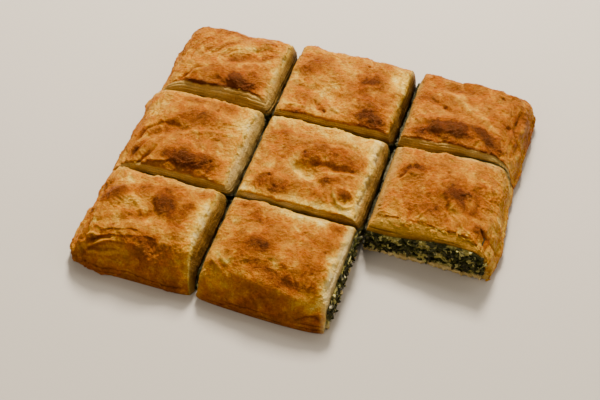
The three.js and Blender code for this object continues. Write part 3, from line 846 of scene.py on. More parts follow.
def skin_relief(points, warped):
    """Relief of the browned skin: swells, puckers, wrinkles that run askew, flakes, a fine
    crinkle, grain and pimples. Returns its height, and the parts that also brown the skin."""
    patchy = smooth_step(-0.4, 0.6, waves(points, 22, 14))
    x, y, z = warped.T
    askew = np.stack([x * 0.8 + y * 0.6, (y * 0.8 - x * 0.6) * 0.45, z], 1)
    swell = 0.6 * waves(points, 16, 11) + 0.4 * waves(warped, 8, 12)
    pucker = 1 - 2.2 * np.abs(waves(warped, 10, 18))
    wrinkle = 1 - 2 * np.abs(waves(askew, 4.0, 13))
    big = flakes(warped, 6.5, 2.6, 41) * smooth_step(-0.3, 0.4, waves(points, 18, 43))
    small = flakes(warped, 2.4, 2.4, 45) * smooth_step(-0.5, 0.5, waves(points, 11, 47))
    crinkle = 1 - 2.4 * np.abs(waves(warped, 2.6, 19))
    grain = waves(warped, 1.7, 15)
    pimples = np.maximum(0, waves(points, 1.4, 16)) ** 2
    parts = {
        "swell": swell - 0.28, "pucker": pucker * (1.2 - patchy), "wrinkle": wrinkle * (0.3 + 0.7 * patchy),
        "big flakes": big, "small flakes": small, "crinkle": crinkle * (0.3 + patchy), "grain": grain,
        "pimples": pimples * (0.3 + patchy),
    }
    height = sum(RELIEF[name] * part for name, part in parts.items())
    lines = wrinkle + 0.5 * crinkle + big + 0.7 * small
    return height, {"swell": swell, "wrinkle": lines, "grain": grain}


# Seams round the rims: their heights over the floor and seeds, and half their width.
SEAMS = ((4.2, 81), (7.5, 82))
SEAM_WIDTH = 0.5


def rim_relief(points, normal):
    """Relief of the outer walls: wavy seams that run round near the floor, where the sheets of pastry were
    pinched together, and pleats along the left rim and its front corner. Returns its height, and how much
    darker the walls are: along the seams, and in the pleats' valleys as painted shade."""
    x, y, z = points.T
    flat = points * [1, 1, 0]
    wall = smooth_step(0.25, 0.6, 1 - np.abs(normal[:, 2]))
    seams = 0.0
    for level, seed in SEAMS:
        height = level + 1.6 * waves(flat, 34, seed) + 0.5 * waves(flat, 9, seed + 2)
        depth = smooth_step(-0.2, 0.3, waves(flat, 28, seed + 4))
        seams = seams + depth * hump(z - height, SEAM_WIDTH)
    stretched = points * [1, 0.16, 1] + 0.8 * waves(points, 9, 91)[:, None]
    pleat = 1 - 2.2 * np.abs(waves(stretched, 3.6, 92))
    near_left = smooth_step(-104, -112, x) * (0.4 + 0.6 * smooth_step(20, -40, y))
    angle = np.arctan2(z - 5, x - PINCH[0]) + 0.05 * waves(points, 12, 94)
    spokes = np.stack([angle * 22, 0 * x, 0 * x], 1)
    fan = (1 - 2.2 * np.abs(waves(spokes, 3.0, 93))) * bell(x, y, PINCH, (42, 16), 0) * (1 - near_left)
    height = -0.6 * seams * wall + 1.5 * pleat * near_left + 0.8 * fan * smooth_step(-88, -94, y)
    # Darker along the seams, and painted shade in the pleats' valleys.
    return height, seams * wall + 0.5 * np.maximum(0, -pleat) * near_left


def cut_marks(plain, column, row, cuts):
    """For each point, how near it is to a soft cut edge, and how pale the leaves are at the cut nearest to
    it, which is partly painted shade. The edges' width wavers."""
    flat = np.column_stack([plain, np.zeros(len(plain))])
    waver = 1 + 0.5 * waves(flat, 19, 101) + 0.35 * waves(flat, 5, 102)
    soft, tone, weight = np.zeros(len(plain)), np.zeros(len(plain)), np.full(len(plain), 1e-9)
    for axis, span, cross in ((0, column, row), (1, row, column)):
        for side, is_rim, distance, _ in span.ends(plain[:, axis]):
            if is_rim:
                continue
            cut = cut_at(cuts, side)
            near = hump(distance, (0.8 * cut.round + 0.5) * np.maximum(waver, 0.3))
            soft = np.maximum(soft, near * np.clip((cut.round - 1) / 2.5, 0, 1))
            near = hump(distance, 4) + 1e-6
            tone += near * between(cut.tone, cross.along(plain[:, 1 - axis]))
            weight += near
    return soft, tone / weight


# The front slope that is smoother than the rest, and a crumpled place: middle, half widths, turn.
SMOOTH_FRONT = ("front", "centre")
CRUMPLED = ((-78, -92), (22, 7), 6)


def skin_of(piece, points, normal, inward, soft):
    """The browned skin of a lid: its height over the plain form, the painted shade and highlights of the
    lines, how much darker the browned patches are, and what else browns it or paints shade and light on it,
    by name."""
    x, y, _ = points.T
    warped = points + stray(points, 1.4, 10, 50)
    height, browned_and_painted_shade_by = skin_relief(points, warped)
    line_height, painted_line_shade = creases(warped[:, 0], warped[:, 1])
    wall_height, seams = rim_relief(points, normal)
    lip = hump(inward["front"], 1.3) * (1 - soft)
    # Pits sink into the skin, and are also painted darker as shade.
    pit = sum(bell(x, y, place, PIT_SIZE, 0) for place in PITS)
    astray = warped + stray(points, 1.5, 8, 34)
    patches = sum(
        PATCH_SHADE * strength * blot(astray[:, 0], astray[:, 1], middle, half, turn)
        for middle, half, turn, strength in SCORCHES
    )
    if piece == SMOOTH_FRONT:
        height = height * (1 - 0.4 * smooth_step(0.1, 0.5, -normal[:, 1]))
    height = height * (1 + 0.5 * bell(x, y, *CRUMPLED))
    height = height * (1 - 0.5 * np.clip(line_height / 2, 0, 1)) + line_height + wall_height
    height = height + 0.3 * lip - 0.9 * pit + PATCH_HEIGHT * patches
    browned_and_painted_shade_by.update({
        "pit": pit, "seam": seams, "lip": lip, "mound": mounds(x, y),
        "steep": 1 - np.clip(normal[:, 2], 0, 1),
        # Painted shade on slopes that face the front, and painted light on slopes that face right.
        "front slope": smooth_step(0.3, 0.9, -normal[:, 1]),
        "right slope": smooth_step(0.3, 0.9, normal[:, 0]),
    })
    return height, painted_line_shade, patches, browned_and_painted_shade_by


LEAVES_UP_A_FACE = 5.5


def leaves_of(piece, points, plain, up, column):
    """The leaves of pastry on a cut face: some stand out over others, each has a thin painted highlight along
    its edge and a painted shade line under it, and a split runs along them. Returns the face's height over
    the plain form, the painted highlights and shade of the leaves, and where the split is."""
    drawn_out = points * [1, 1, 0.3]
    level = LEAVES_UP_A_FACE * up + 0.45 * waves(drawn_out, 28, 21) + 0.15 * waves(drawn_out, 7, 22)
    number = np.floor(level)
    part = level - number
    strength = np.modf(np.abs(np.sin(number * 12.9898) * 43.758))[0]  # a random one for each leaf
    strength = strength * smooth_step(-0.3, 0.4, waves(points * [1, 1, 3], 12, 27))
    on_side = np.isin(plain[:, 0], (column.start, column.end))
    strength = strength * np.where(on_side, 0.4, 0.9)
    if piece == ("middle", "right"):
        strength = strength * (0.25 + 0.75 * smooth_step(75, 105, points[:, 0]))
    leaf = strength * smooth_step(0, 0.15, part) * smooth_step(1.0, 0.7, part)
    # Painted highlight along each leaf's edge and painted shade under it.
    pale_edge = hump(part - 0.8, 0.13)
    painted_highlight_line = pale_edge * (0.3 + 0.7 * strength)
    painted_shade_line = hump(part, 0.12) + hump(1 - part, 0.12)
    split_level = 0.3 + 0.1 * waves(points, 20, 23)
    split = smooth_step(-0.1, 0.3, waves(points, 26, 26)) * hump(up - split_level, 0.03)
    height = 0.9 * leaf + 0.3 * painted_highlight_line - 1.0 * split
    painted_leaf_shade = (0.2 + 0.8 * strength) * painted_highlight_line + 0.15 * leaf - 0.4 * painted_shade_line - 0.1
    return height, painted_leaf_shade, split


# How much darker each thing makes the skin, or paler where it is below 0. Most of it is browning; the pits,
# the pleats' valleys under the seam entry and the front slopes are painted shade, the right slopes are
# painted light, and steep parts are made darker.
BROWNING_AND_PAINTED_SHADE = {
    "mottle": 0.07, "drift": 0.08, "swell": 0.06, "grain": 0.06, "wrinkle": 0.07, "pit": 0.25, "seam": 0.2,
    "pale edge": -0.2, "lip": 0.1, "steep": 0.05, "front slope": 0.07, "right slope": -0.12, "mound": 0.02,
}
BAKED = 0.375  # browning of plain skin, from pale at 0 to almost black at 1
CONTRAST, MEAN_BAKE = 1.42, 0.36


def browning_and_painted_shade(piece, points, inward, mottle, painted_line_shade, patches, browned_and_painted_shade_by):
    """How dark the skin is, from 0 to 1: browned patches, the lines' painted shade, all that browns it and
    the painted shade and light of pits, pleats and slopes, with paler stretches of uneven width along the
    cuts."""
    waver = 1 + 0.5 * waves(points, 15, 103) + 0.3 * waves(points, 5, 104)
    pale_edge = sum(
        strength * hump(inward[side], 6.5 * np.maximum(waver, 0.3))
        for side, strength in zip(("left", "right", "front", "back"), PALE[piece])
    )
    browned_and_painted_shade_by = {**browned_and_painted_shade_by, "mottle": mottle, "drift": waves(points, 24, 105), "pale edge": pale_edge}
    bake = BAKED + patches * (1 + 0.2 * mottle) + painted_line_shade
    bake = bake + sum(BROWNING_AND_PAINTED_SHADE[name] * part for name, part in browned_and_painted_shade_by.items())
    return np.clip(BAKED + CONTRAST * (bake - MEAN_BAKE) + BROWNER.get(piece, 0), 0, 1)


def finish_lid(row_name, column_name, points, quads, fan, marks, material):
    """Adds a lid's relief along its normals, works out its browning and painted shade, and makes the object.
    """
    row, column = ROWS[row_name], COLUMNS[column_name]
    piece = (row_name, column_name)
    plain, is_skin, on_cut, up, wall = marks
    normal = outward(points, quads)
    inward = {}
    for place, span in ((plain[:, 0], column), (plain[:, 1], row)):
        for side, is_rim, distance, _ in span.ends(place):
            inward[side] = np.full(len(points), NO_CUT) if is_rim else distance
    soft, tone = cut_marks(plain, column, row, CUTS[piece])

    skin, painted_line_shade, patches, browned_and_painted_shade_by = skin_of(piece, points, normal, inward, soft)
    leaf_height, painted_leaf_shade, split = leaves_of(piece, points, plain, up, column)
    face = leaf_height * (1 - 0.8 * soft) + 0.4 * waves(points, 8, 24) + 0.12 * waves(points, 1.8, 25)
    blend = smooth_step(0.82 - 0.5 * soft, 1.0, up)
    shift = np.where(on_cut > 0, face * (1 - blend) + skin * blend, skin * is_skin)
    points = points + normal * (shift * smooth_step(0.1, 2.0, points[:, 2]))[:, None]
    points[:, 2] = np.maximum(points[:, 2], 0)

    mottle = rough(points, 6, 31)
    edge_cut = np.clip(soft * (0.9 + 0.3 * mottle + 0.2 * browned_and_painted_shade_by["grain"]), 0, 1)
    face_cut = edge_cut + (1 - edge_cut) * smooth_step(1.0, 0.88 - 0.4 * soft, up)
    # The split is painted darker as shade, and the leaves get their painted highlights and shade.
    leaf_tint_and_painted_shade = 0.5 - 0.9 * split + 0.2 * waves(points, 5, 28) + 0.2 * waves(points * [1, 1, 2], 1.6, 29)
    leaf_tint_and_painted_shade = leaf_tint_and_painted_shade + on_cut * (1 - soft) * painted_leaf_shade
    butter = np.zeros(len(points))
    if piece == ("middle", "right"):
        leaf_tint_and_painted_shade = leaf_tint_and_painted_shade + 0.3 + 0.4 * wall
        butter = on_cut * (1 - wall) * smooth_step(8, 3, inward["front"])
    attributes = {
        # Browning, with painted shade and light from the lines, pits, pleats and slopes.
        "bake": browning_and_painted_shade(piece, points, inward, mottle, painted_line_shade, patches, browned_and_painted_shade_by),
        "cut": np.where(on_cut > 0, face_cut, edge_cut * is_skin),
        "leaf": np.clip(leaf_tint_and_painted_shade, 0, 1),
        "butter": butter,
        # How far up a cut face, which darkens it lower down as painted shade.
        "up": np.where(on_cut > 0, np.maximum(up, wall), 1),
        "tone": np.clip(tone + 0.5 * wall * on_cut + 0.15 * waves(points, 9, 30), 0, 1),
    }
    name = f"{row_name}_{column_name}"
    lid = surface(f"{name}_lid_crust", points, [quads, fan], attributes)
    lid.data.materials.append(material)
    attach(lid, "root")
    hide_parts(f"{name}_lid")
    on_lip = hump(inward["front"], 1.0) * smooth_step(0.7, 0.95, up)
    return Spots(points, outward(points, quads), on_lip * FLAKY.get(piece, 0) + 1e-9)


def outline(column, row, rim_set_back, cut_set_back):
    """A piece's outline in the plain plan, once round anticlockwise, with the side that each
    point faces: places, the outward way, and the width of the cut there, or 0 at a rim."""
    low = [span.start + (rim_set_back if span.rims[0] else cut_set_back) for span in (column, row)]
    high = [span.end - (rim_set_back if span.rims[1] else cut_set_back) for span in (column, row)]
    along_x = np.linspace(low[0], high[0], int((high[0] - low[0]) / MESH_STEP))[:-1]
    along_y = np.linspace(low[1], high[1], int((high[1] - low[1]) / MESH_STEP))[:-1]
    back_x = along_x[::-1] + along_x[1] - along_x[0]
    back_y = along_y[::-1] + along_y[1] - along_y[0]
    x = np.concatenate([along_x, np.full(len(along_y), high[0]), back_x, np.full(len(along_y), low[0])])
    y = np.concatenate([np.full(len(along_x), low[1]), along_y, np.full(len(along_x), high[1]), back_y])
    counts = (len(along_x), len(along_y), len(along_x), len(along_y))
    way = np.repeat([[0, -1], [1, 0], [0, 1], [-1, 0]], counts, axis=0).astype(float)
    left, right = (COLUMN_GAP * (not rim) for rim in column.rims)
    front, back = (ROW_GAP * (not rim) for rim in row.rims)
    gap = np.repeat([front, right, back, left], counts)
    return x, y, way, gap


def is_exposed(row_name, column_name, ways):
    """1 where a way out goes through the piece's open cut, otherwise 0."""
    return (ways @ EXPOSED.get((row_name, column_name), (0, 0)) > 0) * 1.0


def filling_relief(points, ways, room, is_open):
    """Lumps of cheese that stand out pale, and leaves that lie in folds between them, painted darker in the
    folds as shade: how cheesy and how leafy each point is, and how far it is pushed out. The cheese is cut
    back in closed cuts, as painted shade."""
    astray = (points + stray(points, 1.8, 5, 64)) * [1, 1, 1.3]
    # Less cheese in closed cuts and on faces that look left: painted shade.
    shut = 0.25 * (room < 3)
    low = smooth_step(9, 4, points[:, 2]) * is_open
    cheese = smooth_step(0.12 - shut, 0.34 - shut, rough(astray, 8.5, 61, 3) + 0.3 * low)
    cheese = cheese * np.where(ways[:, 0] < 0, is_open, 0.2 + 0.8 * is_open)
    leafy = 1 - 2 * np.abs(waves(astray * [1, 1, 1.8], 3.4, 62))
    push = 1.5 + 0.8 * waves(astray, 7, 67) + 0.5 * cheese + 0.8 * leafy * (1 - cheese)
    return cheese, leafy, push + 0.35 * waves(points, 1.5, 63)


def make_filling(row_name, column_name, material):
    """The filling: rows up its sides, pushed in and out as chopped leaves and crumbs of
    cheese, closed above and below by rings that shrink to a pole. Returns the spots of its
    leaves and those of its cheese."""
    row, column = ROWS[row_name], COLUMNS[column_name]
    x, y, way, gap = outline(column, row, RIM_WALL + FIT, 0.6)
    bottom = BASE_HEIGHT - 0.4
    lowest_top = bottom + 0.6
    slump = sag(y, column, row) * (way[:, 0] > 0)
    top = np.maximum(lowest_top, underside(x, y, column, row) - TIP)
    top = np.maximum(lowest_top, top - (SAG_DOWN - 0.6) * slump)
    px, py = settle(x, y, column, row)
    levels = np.linspace(0, 1, int(FILLING_HEIGHT / MESH_STEP) + 1)
    rings = [np.stack([px, py, bottom + (top - bottom) * level], 1) for level in levels]
    middle = np.array([column.middle, row.middle])
    caps = []
    for inward in (0.15, 0.5):
        at_x, at_y = (np.stack([x, y], 1) * (1 - inward) + middle * inward).T
        z = np.maximum(underside(at_x, at_y, column, row) - TIP, lowest_top)
        caps.append(np.stack([*settle(at_x, at_y, column, row), z], 1))
    count = len(x)
    poles = [[*middle, underside_height(middle[0]) - TIP], [*middle, bottom]]
    points = np.concatenate([*rings, *caps, poles])

    # Which way each point can be pushed, and how far: not past the middle of a narrow cut.
    on_side = count * len(levels)
    inside = len(points) - on_side
    ways = np.concatenate([np.tile(way, (len(levels), 1)), np.zeros((inside, 2))])
    room = 0.6 + 0.45 * np.where(is_exposed(row_name, column_name, way) > 0, OPEN_ROOM, gap)
    room = np.concatenate([np.tile(room * (gap > 0), len(levels)), np.zeros(inside)])
    is_open = is_exposed(row_name, column_name, ways)

    cheese, leafy, push = filling_relief(points, ways, room, is_open)
    push[:on_side] += np.tile(1.2 * slump, len(levels))
    push = np.clip(push, 0.2, room) * (room > 0) - 1.2 * is_open * smooth_step(7, 3, points[:, 2])
    points[:, :2] += ways * push[:, None]

    name = f"{row_name}_{column_name}"
    # Lower fold values in closed cuts paint the leaves darker there as shade.
    attributes = {"cheese": cheese, "fold": leafy - 1.1 * (1 - is_open)}
    faces = stack_faces(count, len(levels) + len(caps))
    filling = surface(f"{name}_filling_mix", points, faces, attributes)
    filling.data.materials.append(material)
    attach(filling, "root")
    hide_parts(f"{name}_filling")
    chance = np.where(room > 0, 0.004 + 0.996 * is_open, 0.0)
    way_out = np.column_stack([ways, np.zeros(len(points))])
    return Spots(points, way_out, chance * (1.05 - cheese)), Spots(points, way_out, chance * (cheese + 0.02))


def make_base(row_name, column_name, material):
    """The base: a thin sheet with a rounded, ragged edge that shows at the cuts. It reaches
    further out at an open cut, and almost to the middle of a narrow one."""
    row, column = ROWS[row_name], COLUMNS[column_name]
    set_back = 0.2
    x, y, way, gap = outline(column, row, RIM_WALL + FIT, set_back)
    cut = np.sign(gap)
    px, py = settle(x, y, column, row)
    ragged = 1.2 * rough(np.stack([px, py, 0 * px], 1), 3.6, 71, 4)
    is_open = is_exposed(row_name, column_name, way)
    is_narrow = gap * (1 - is_open) > 0
    rings = []
    for angle in np.linspace(-math.pi / 2, math.pi / 2, 9):
        out = 0.9 * (math.cos(angle) - 1) + ragged * cut * (0.6 + 0.4 * math.cos(angle))
        out = out + is_open * (1.8 + 0.6 * ragged)
        out = np.where(is_narrow, np.minimum(out + 0.28 * gap, set_back + 0.46 * gap), out)
        z = BASE_HEIGHT / 2 * (1 + math.sin(angle)) + 0 * px
        rings.append(np.stack([px + way[:, 0] * out, py + way[:, 1] * out, z], 1))
    middle = (column.middle, row.middle)
    points = np.concatenate([*rings, [[*middle, BASE_HEIGHT]], [[*middle, 0.0]]])
    on_rim = len(points) - 2
    grain = waves(points, 1.4, 72)
    points[:on_rim, :2] += np.tile(way * cut[:, None], (len(rings), 1)) * (0.22 * grain[:on_rim])[:, None]

    name = f"{row_name}_{column_name}"
    bake = 0.12 + 0.25 * rough(points, 4, 73) + 0.12 * grain
    base = surface(f"{name}_base_crust", points, stack_faces(len(x), len(rings)), {"bake": bake})
    base.data.materials.append(material)
    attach(base, "root")
    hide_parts(f"{name}_base")


# ---------------------------------------------------------------- loose bits
def unit(v):
    """Vectors of the same directions, 1 long."""
    return v / np.maximum(np.linalg.norm(v, axis=-1, keepdims=True), 1e-9)


def pick(spots, count, draw):
    """Random places out of all the pieces' spots: points and normals."""
    points, normals, chance = (np.concatenate(values) for values in zip(*spots))
    chosen = draw.choice(len(chance), count, p=chance / chance.sum())
    return points[chosen], normals[chosen]


def many(shape, faces):
    """Joins as many copies of one set of faces as there are sets of points."""
    count, corners = shape.shape[:2]
    shift = (np.arange(count) * corners)[:, None, None]
    blocks = [(np.asarray(block) + shift).reshape(-1, len(block[0])) for block in faces]
    return shape.reshape(-1, 3), blocks


def strips(middle, along, normal, length, width, thickness, curl):
    """Closed, pointed strips. At t from -1 to 1 the middle line is at along * t * length / 2 +
    normal * curl * t * t, and a flat section of four corners, widest at t = 0, follows it."""
    sections = 6
    t = np.linspace(-1, 1, sections)[None, :, None]
    across = np.cross(normal, along)[:, None]
    along, normal = along[:, None], normal[:, None]
    length, width, thickness, curl = (v[:, None, None] for v in (length, width, thickness, curl))
    line = middle[:, None] + along * t * length / 2 + normal * curl * (t * t - 0.3)
    half = width / 2 * np.sqrt(1.03 - t * t)
    corners = [across * half, normal * thickness / 2, -across * half, -normal * thickness / 2]
    shape = np.stack([line + corner for corner in corners], 2).reshape(len(middle), -1, 3)
    quads = [
        (4 * k + i, 4 * k + (i + 1) % 4, 4 * k + 4 + (i + 1) % 4, 4 * k + 4 + i)
        for k in range(sections - 1) for i in range(4)
    ]
    last = 4 * (sections - 1)
    quads += [(3, 2, 1, 0), (last, last + 1, last + 2, last + 3)]
    return many(shape, [quads])


def lumps(middle, size, draw):
    """Closed lumps: three rings of six and two poles of a ball, each corner moved at random
    and each ball squashed at random."""
    turn = np.arange(6) * math.pi / 3
    rings = [(0.8, -0.6), (1.0, 0.0), (0.8, 0.6)]
    ball = [(r * math.cos(a), r * math.sin(a), z) for r, z in rings for a in turn] + [(0, 0, -1), (0, 0, 1)]
    squash = draw.uniform(0.6, 1.2, (len(middle), 1, 3))
    uneven = draw.uniform(0.75, 1.2, (len(middle), len(ball), 1))
    shape = middle[:, None] + np.array(ball) * squash * uneven * size[:, None, None]
    quads = [
        (6 * k + i, 6 * k + (i + 1) % 6, 6 * k + 6 + (i + 1) % 6, 6 * k + 6 + i)
        for k in range(2) for i in range(6)
    ]
    fans = [(18, (i + 1) % 6, i) for i in range(6)] + [(19, 12 + i, 12 + (i + 1) % 6) for i in range(6)]
    return many(shape, [quads, fans])


def scatter(name, shape, attributes, material):
    """Makes one object of many joined bits. An attribute has one value for each bit."""
    points, faces = shape
    attributes = {
        key: np.repeat(values, len(points) // len(values)) for key, values in attributes.items()
    }
    points[:, 2] = np.maximum(points[:, 2], 0.05)
    piece = surface(name, points, faces, attributes, smooth=False)
    piece.data.materials.append(material)
    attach(piece, "root")


def make_spinach(spots, material):
    """Shreds of leaf that stand out of the cut filling and hang over its foot."""
    draw = np.random.default_rng(5)
    count = SPINACH_SHREDS
    middle, normal = pick(spots, count, draw)
    side = np.cross([0, 0, 1], normal)
    lean = draw.normal(0, 0.6, (count, 3))
    upward = np.array([0, 0, 1]) * lean[:, 1:2]
    along = unit(side * lean[:, :1] * 1.6 + upward + normal * np.abs(lean[:, 2:]) * 0.7)
    face = unit(np.cross(along, draw.normal(0, 1, (count, 3)) + side * 2))
    middle = middle + normal * draw.uniform(-0.3, 0.7, (count, 1))
    shape = strips(
        middle, along, face, draw.uniform(2.0, 6.5, count), draw.uniform(0.5, 2.6, count),
        draw.uniform(0.15, 0.4, count), draw.normal(0, 0.8, count)
    )
    is_pale = draw.uniform(0, 1, count) < 0.12
    shade = np.where(is_pale, 1.0, 0.6 * draw.uniform(0, 1, count) ** 2)
    scatter("spinach_shreds", shape, {"shade": shade}, material)


def make_feta(spots, material):
    """Crumbs of cheese in the cut filling."""
    draw = np.random.default_rng(6)
    count = FETA_CRUMBS
    middle, normal = pick(spots, count, draw)
    middle = middle + normal * draw.uniform(-0.6, 0.2, (count, 1))
    shape = lumps(middle, 0.4 + 1.0 * draw.uniform(0, 1, count) ** 2.5, draw)
    shade = 0.15 + 0.7 * draw.uniform(0, 1, count) ** 1.2
    scatter("feta_crumbs", shape, {"shade": shade}, material)


def make_flakes(spots, material):
    """Thin curled flakes of pastry along the ragged lips."""
    draw = np.random.default_rng(7)
    count = PASTRY_FLAKES
    middle, normal = pick(spots, count, draw)
    side = unit(np.cross([0, 0, 1], normal) + draw.normal(0, 0.2, (count, 3)) * [1, 1, 0.5])
    face = unit(np.cross(side, np.cross(normal + [0, 0, 1], side)))
    middle = middle + face * draw.uniform(0.0, 0.3, (count, 1))
    length = 1.5 + 4.5 * draw.uniform(0, 1, count) ** 2
    shape = strips(
        middle, side, face, length, draw.uniform(0.5, 1.6, count), np.full(count, 0.16),
        draw.normal(0, 0.3, count)
    )
    bake = draw.uniform(0.28, 0.5, count)
    attributes = {"bake": bake, "cut": 0 * bake, "tone": bake, "leaf": bake, "up": 1 + 0 * bake}
    scatter("pastry_flakes", shape, attributes, material)


# ---------------------------------------------------------------- materials
class Nodes:
    """Short ways to add and join shader nodes of one material."""

    def __init__(self, name):
        self.material = bpy.data.materials.new(name)
        self.material.use_nodes = True
        self.tree = self.material.node_tree
        self.shader = self.tree.nodes["Principled BSDF"]

    def add(self, kind, **inputs):
        node = self.tree.nodes.new(kind)
        for key, value in inputs.items():
            if key in node.inputs:
                self.feed(node.inputs[key], value)
            else:
                setattr(node, key, value)
        return node

    def feed(self, socket, value):
        """Joins a socket, or sets a constant. A colour is linear red, green and blue."""
        if isinstance(value, bpy.types.NodeSocket):
            self.tree.links.new(value, socket)
        elif isinstance(value, tuple) and len(value) < len(socket.default_value):
            socket.default_value = (*value, 1.0)
        else:
            socket.default_value = value

    def attribute(self, name):
        return self.add("ShaderNodeAttribute", attribute_name=name).outputs["Fac"]

    def place(self):
        """Object coordinates in millimetres."""
        coordinates = self.add("ShaderNodeTexCoord").outputs["Object"]
        scaled = self.add("ShaderNodeVectorMath", operation="SCALE")
        self.feed(scaled.inputs[0], coordinates)
        scaled.inputs["Scale"].default_value = 1 / MM
        return scaled.outputs[0]

    def noise(self, size, detail=3.0, roughness=0.5):
        """Noise of 0 to 1 with waves of a size in millimetres."""
        node = self.add("ShaderNodeTexNoise", Vector=self.place(), Scale=1 / size, Detail=detail)
        node.inputs["Roughness"].default_value = roughness
        return node.outputs["Fac"]

    def math(self, operation, a, b, clamp=False):
        node = self.add("ShaderNodeMath", operation=operation, use_clamp=clamp)
        self.feed(node.inputs[0], a)
        self.feed(node.inputs[1], b)
        return node.outputs[0]

    def vary(self, value, noise, amount, clamp=False):
        """A value with noise of 0 to 1 added to it, less its mean of a half."""
        centred = self.math("SUBTRACT", noise, 0.5)
        return self.math("ADD", value, self.math("MULTIPLY", centred, amount), clamp)

    def ramp(self, value, stops):
        """Colours at positions of 0 to 1."""
        node = self.add("ShaderNodeValToRGB", Fac=value)
        elements = node.color_ramp.elements
        while len(elements) < len(stops):
            elements.new(0.5)
        for element, (position, shade) in zip(elements, stops):
            element.position = position
            element.color = (*shade, 1.0)
        return node.outputs["Color"]

    def mix(self, share, a, b, blend="MIX"):
        node = self.add("ShaderNodeMix", data_type="RGBA", blend_type=blend)
        self.feed(node.inputs[0], share)
        self.feed(node.inputs[6], a)
        self.feed(node.inputs[7], b)
        return node.outputs[2]

    def dress(self, colour, relief, depth, strength, finish):
        """The shader: its base colour, a bump of a depth in millimetres, and its other sockets."""
        node = self.add("ShaderNodeBump", Height=relief, Strength=strength)
        node.inputs["Distance"].default_value = depth * MM
        self.feed(self.shader.inputs["Normal"], node.outputs["Normal"])
        self.feed(self.shader.inputs["Base Color"], colour)
        for socket, value in finish.items():
            self.feed(self.shader.inputs[socket], value)
        return self.material


def crust_material():
    """Egg-washed puff pastry: a ramp from cream to dark brown, broken up by fine freckles; the lids' ramp
    value also carries painted shade and light. The cut faces are pale leaves with painted highlights on their
    edges and painted shade lines between them, and are painted darker lower down the cut."""
    n = Nodes("browned_pastry")
    blotches = n.noise(5.0, 3.0)
    bake = n.vary(n.attribute("bake"), n.noise(1.0, 4.0, 0.7), 0.6)
    bake = n.vary(bake, blotches, 0.2, clamp=True)
    browned = n.ramp(bake, [
        (0.0, (0.80, 0.59, 0.17)), (0.16, (0.67, 0.44, 0.060)), (0.35, (0.50, 0.226, 0.012)),
        (0.55, (0.345, 0.108, 0.004)), (0.75, (0.21, 0.053, 0.002)), (1.0, (0.08, 0.016, 0.001)),
    ])
    hue = n.ramp(n.noise(7.0, 5.0, 0.65), [
        (0.36, (1.08, 0.92, 0.3)), (0.5, (1.0, 1.0, 0.95)), (0.64, (0.93, 1.07, 1.8)),
    ])
    browned = n.mix(1.0, browned, hue, "MULTIPLY")
    tone = n.attribute("tone")
    light = n.ramp(tone, [
        (0.0, (0.28, 0.12, 0.010)), (0.5, (0.62, 0.37, 0.085)), (0.72, (0.66, 0.44, 0.11)),
        (1.0, (0.76, 0.61, 0.29)),
    ])
    dark = n.ramp(tone, [(0.0, (0.06, 0.027, 0.003)), (0.5, (0.27, 0.145, 0.028)), (1.0, (0.46, 0.33, 0.12))])
    # The leaf value carries painted highlights on leaf edges and painted shade under them and in splits.
    leaves = n.mix(n.attribute("leaf"), dark, light)
    # Painted shade: the cut faces get darker and greener lower down the cut.
    low = n.ramp(n.attribute("up"), [(0.0, (0.50, 0.43, 0.32)), (0.7, (1.0, 1.0, 1.0))])
    leaves = n.mix(1.0, leaves, low, "MULTIPLY")
    buttery = n.mix(1.0, leaves, (0.97, 0.84, 0.38), "MULTIPLY")
    leaves = n.mix(n.attribute("butter"), leaves, buttery)
    relief = n.math("ADD", n.noise(0.7, 3.0, 0.65), n.noise(1.7, 3.0, 0.6))
    return n.dress(n.mix(n.attribute("cut"), browned, leaves), relief, 1.15, 1.0, {
        "Roughness": n.math("ADD", 0.36, n.math("MULTIPLY", blotches, 0.25)),
        "Subsurface Weight": 0.08,
        "Subsurface Radius": (1.0, 0.5, 0.2),
        "Subsurface Scale": 1.5 * MM,
        "Specular IOR Level": 0.17,
        "Specular Tint": (1.0, 0.58, 0.20),
    })


def filling_material():
    """Moist chopped spinach, painted almost black in its folds and closed cuts as shade, with crumbled cheese
    stained green.
    """
    n = Nodes("spinach_and_feta")
    # Painted shade: lower in the folds and in closed cuts means darker.
    fold = n.math("MULTIPLY", n.math("ADD", n.attribute("fold"), 0.6), 0.45)
    shade = n.math("ADD", n.math("MULTIPLY", n.noise(1.6, 4.0, 0.6), 0.7), n.math("MULTIPLY", fold, 0.4))
    leaf = n.ramp(shade, [
        (0.30, (0.003, 0.004, 0.001)), (0.50, (0.012, 0.015, 0.002)), (0.66, (0.05, 0.05, 0.006)),
        (0.85, (0.16, 0.14, 0.02)),
    ])
    crumb = n.ramp(n.noise(1.5, 4.0, 0.6), [(0.35, (0.09, 0.08, 0.008)), (0.65, (0.42, 0.35, 0.075))])
    colour = n.mix(n.attribute("cheese"), leaf, crumb)
    return n.dress(colour, n.noise(0.6, 3.0, 0.65), 0.5, 0.8, {
        "Roughness": 0.42, "Specular Tint": (1.0, 0.85, 0.5),
    })


def spinach_material():
    """Cooked spinach leaf, from black-green to olive, wet."""
    n = Nodes("spinach_leaf")
    tint = n.ramp(n.vary(n.attribute("shade"), n.noise(1.0), 0.4, clamp=True), [
        (0.0, (0.004, 0.006, 0.001)), (0.4, (0.022, 0.028, 0.003)), (0.7, (0.10, 0.10, 0.012)),
        (1.0, (0.42, 0.38, 0.12)),
    ])
    return n.dress(tint, n.noise(0.5), 0.2, 0.6, {
        "Roughness": 0.35, "Specular IOR Level": 0.35, "Specular Tint": (1.0, 0.85, 0.5),
    })


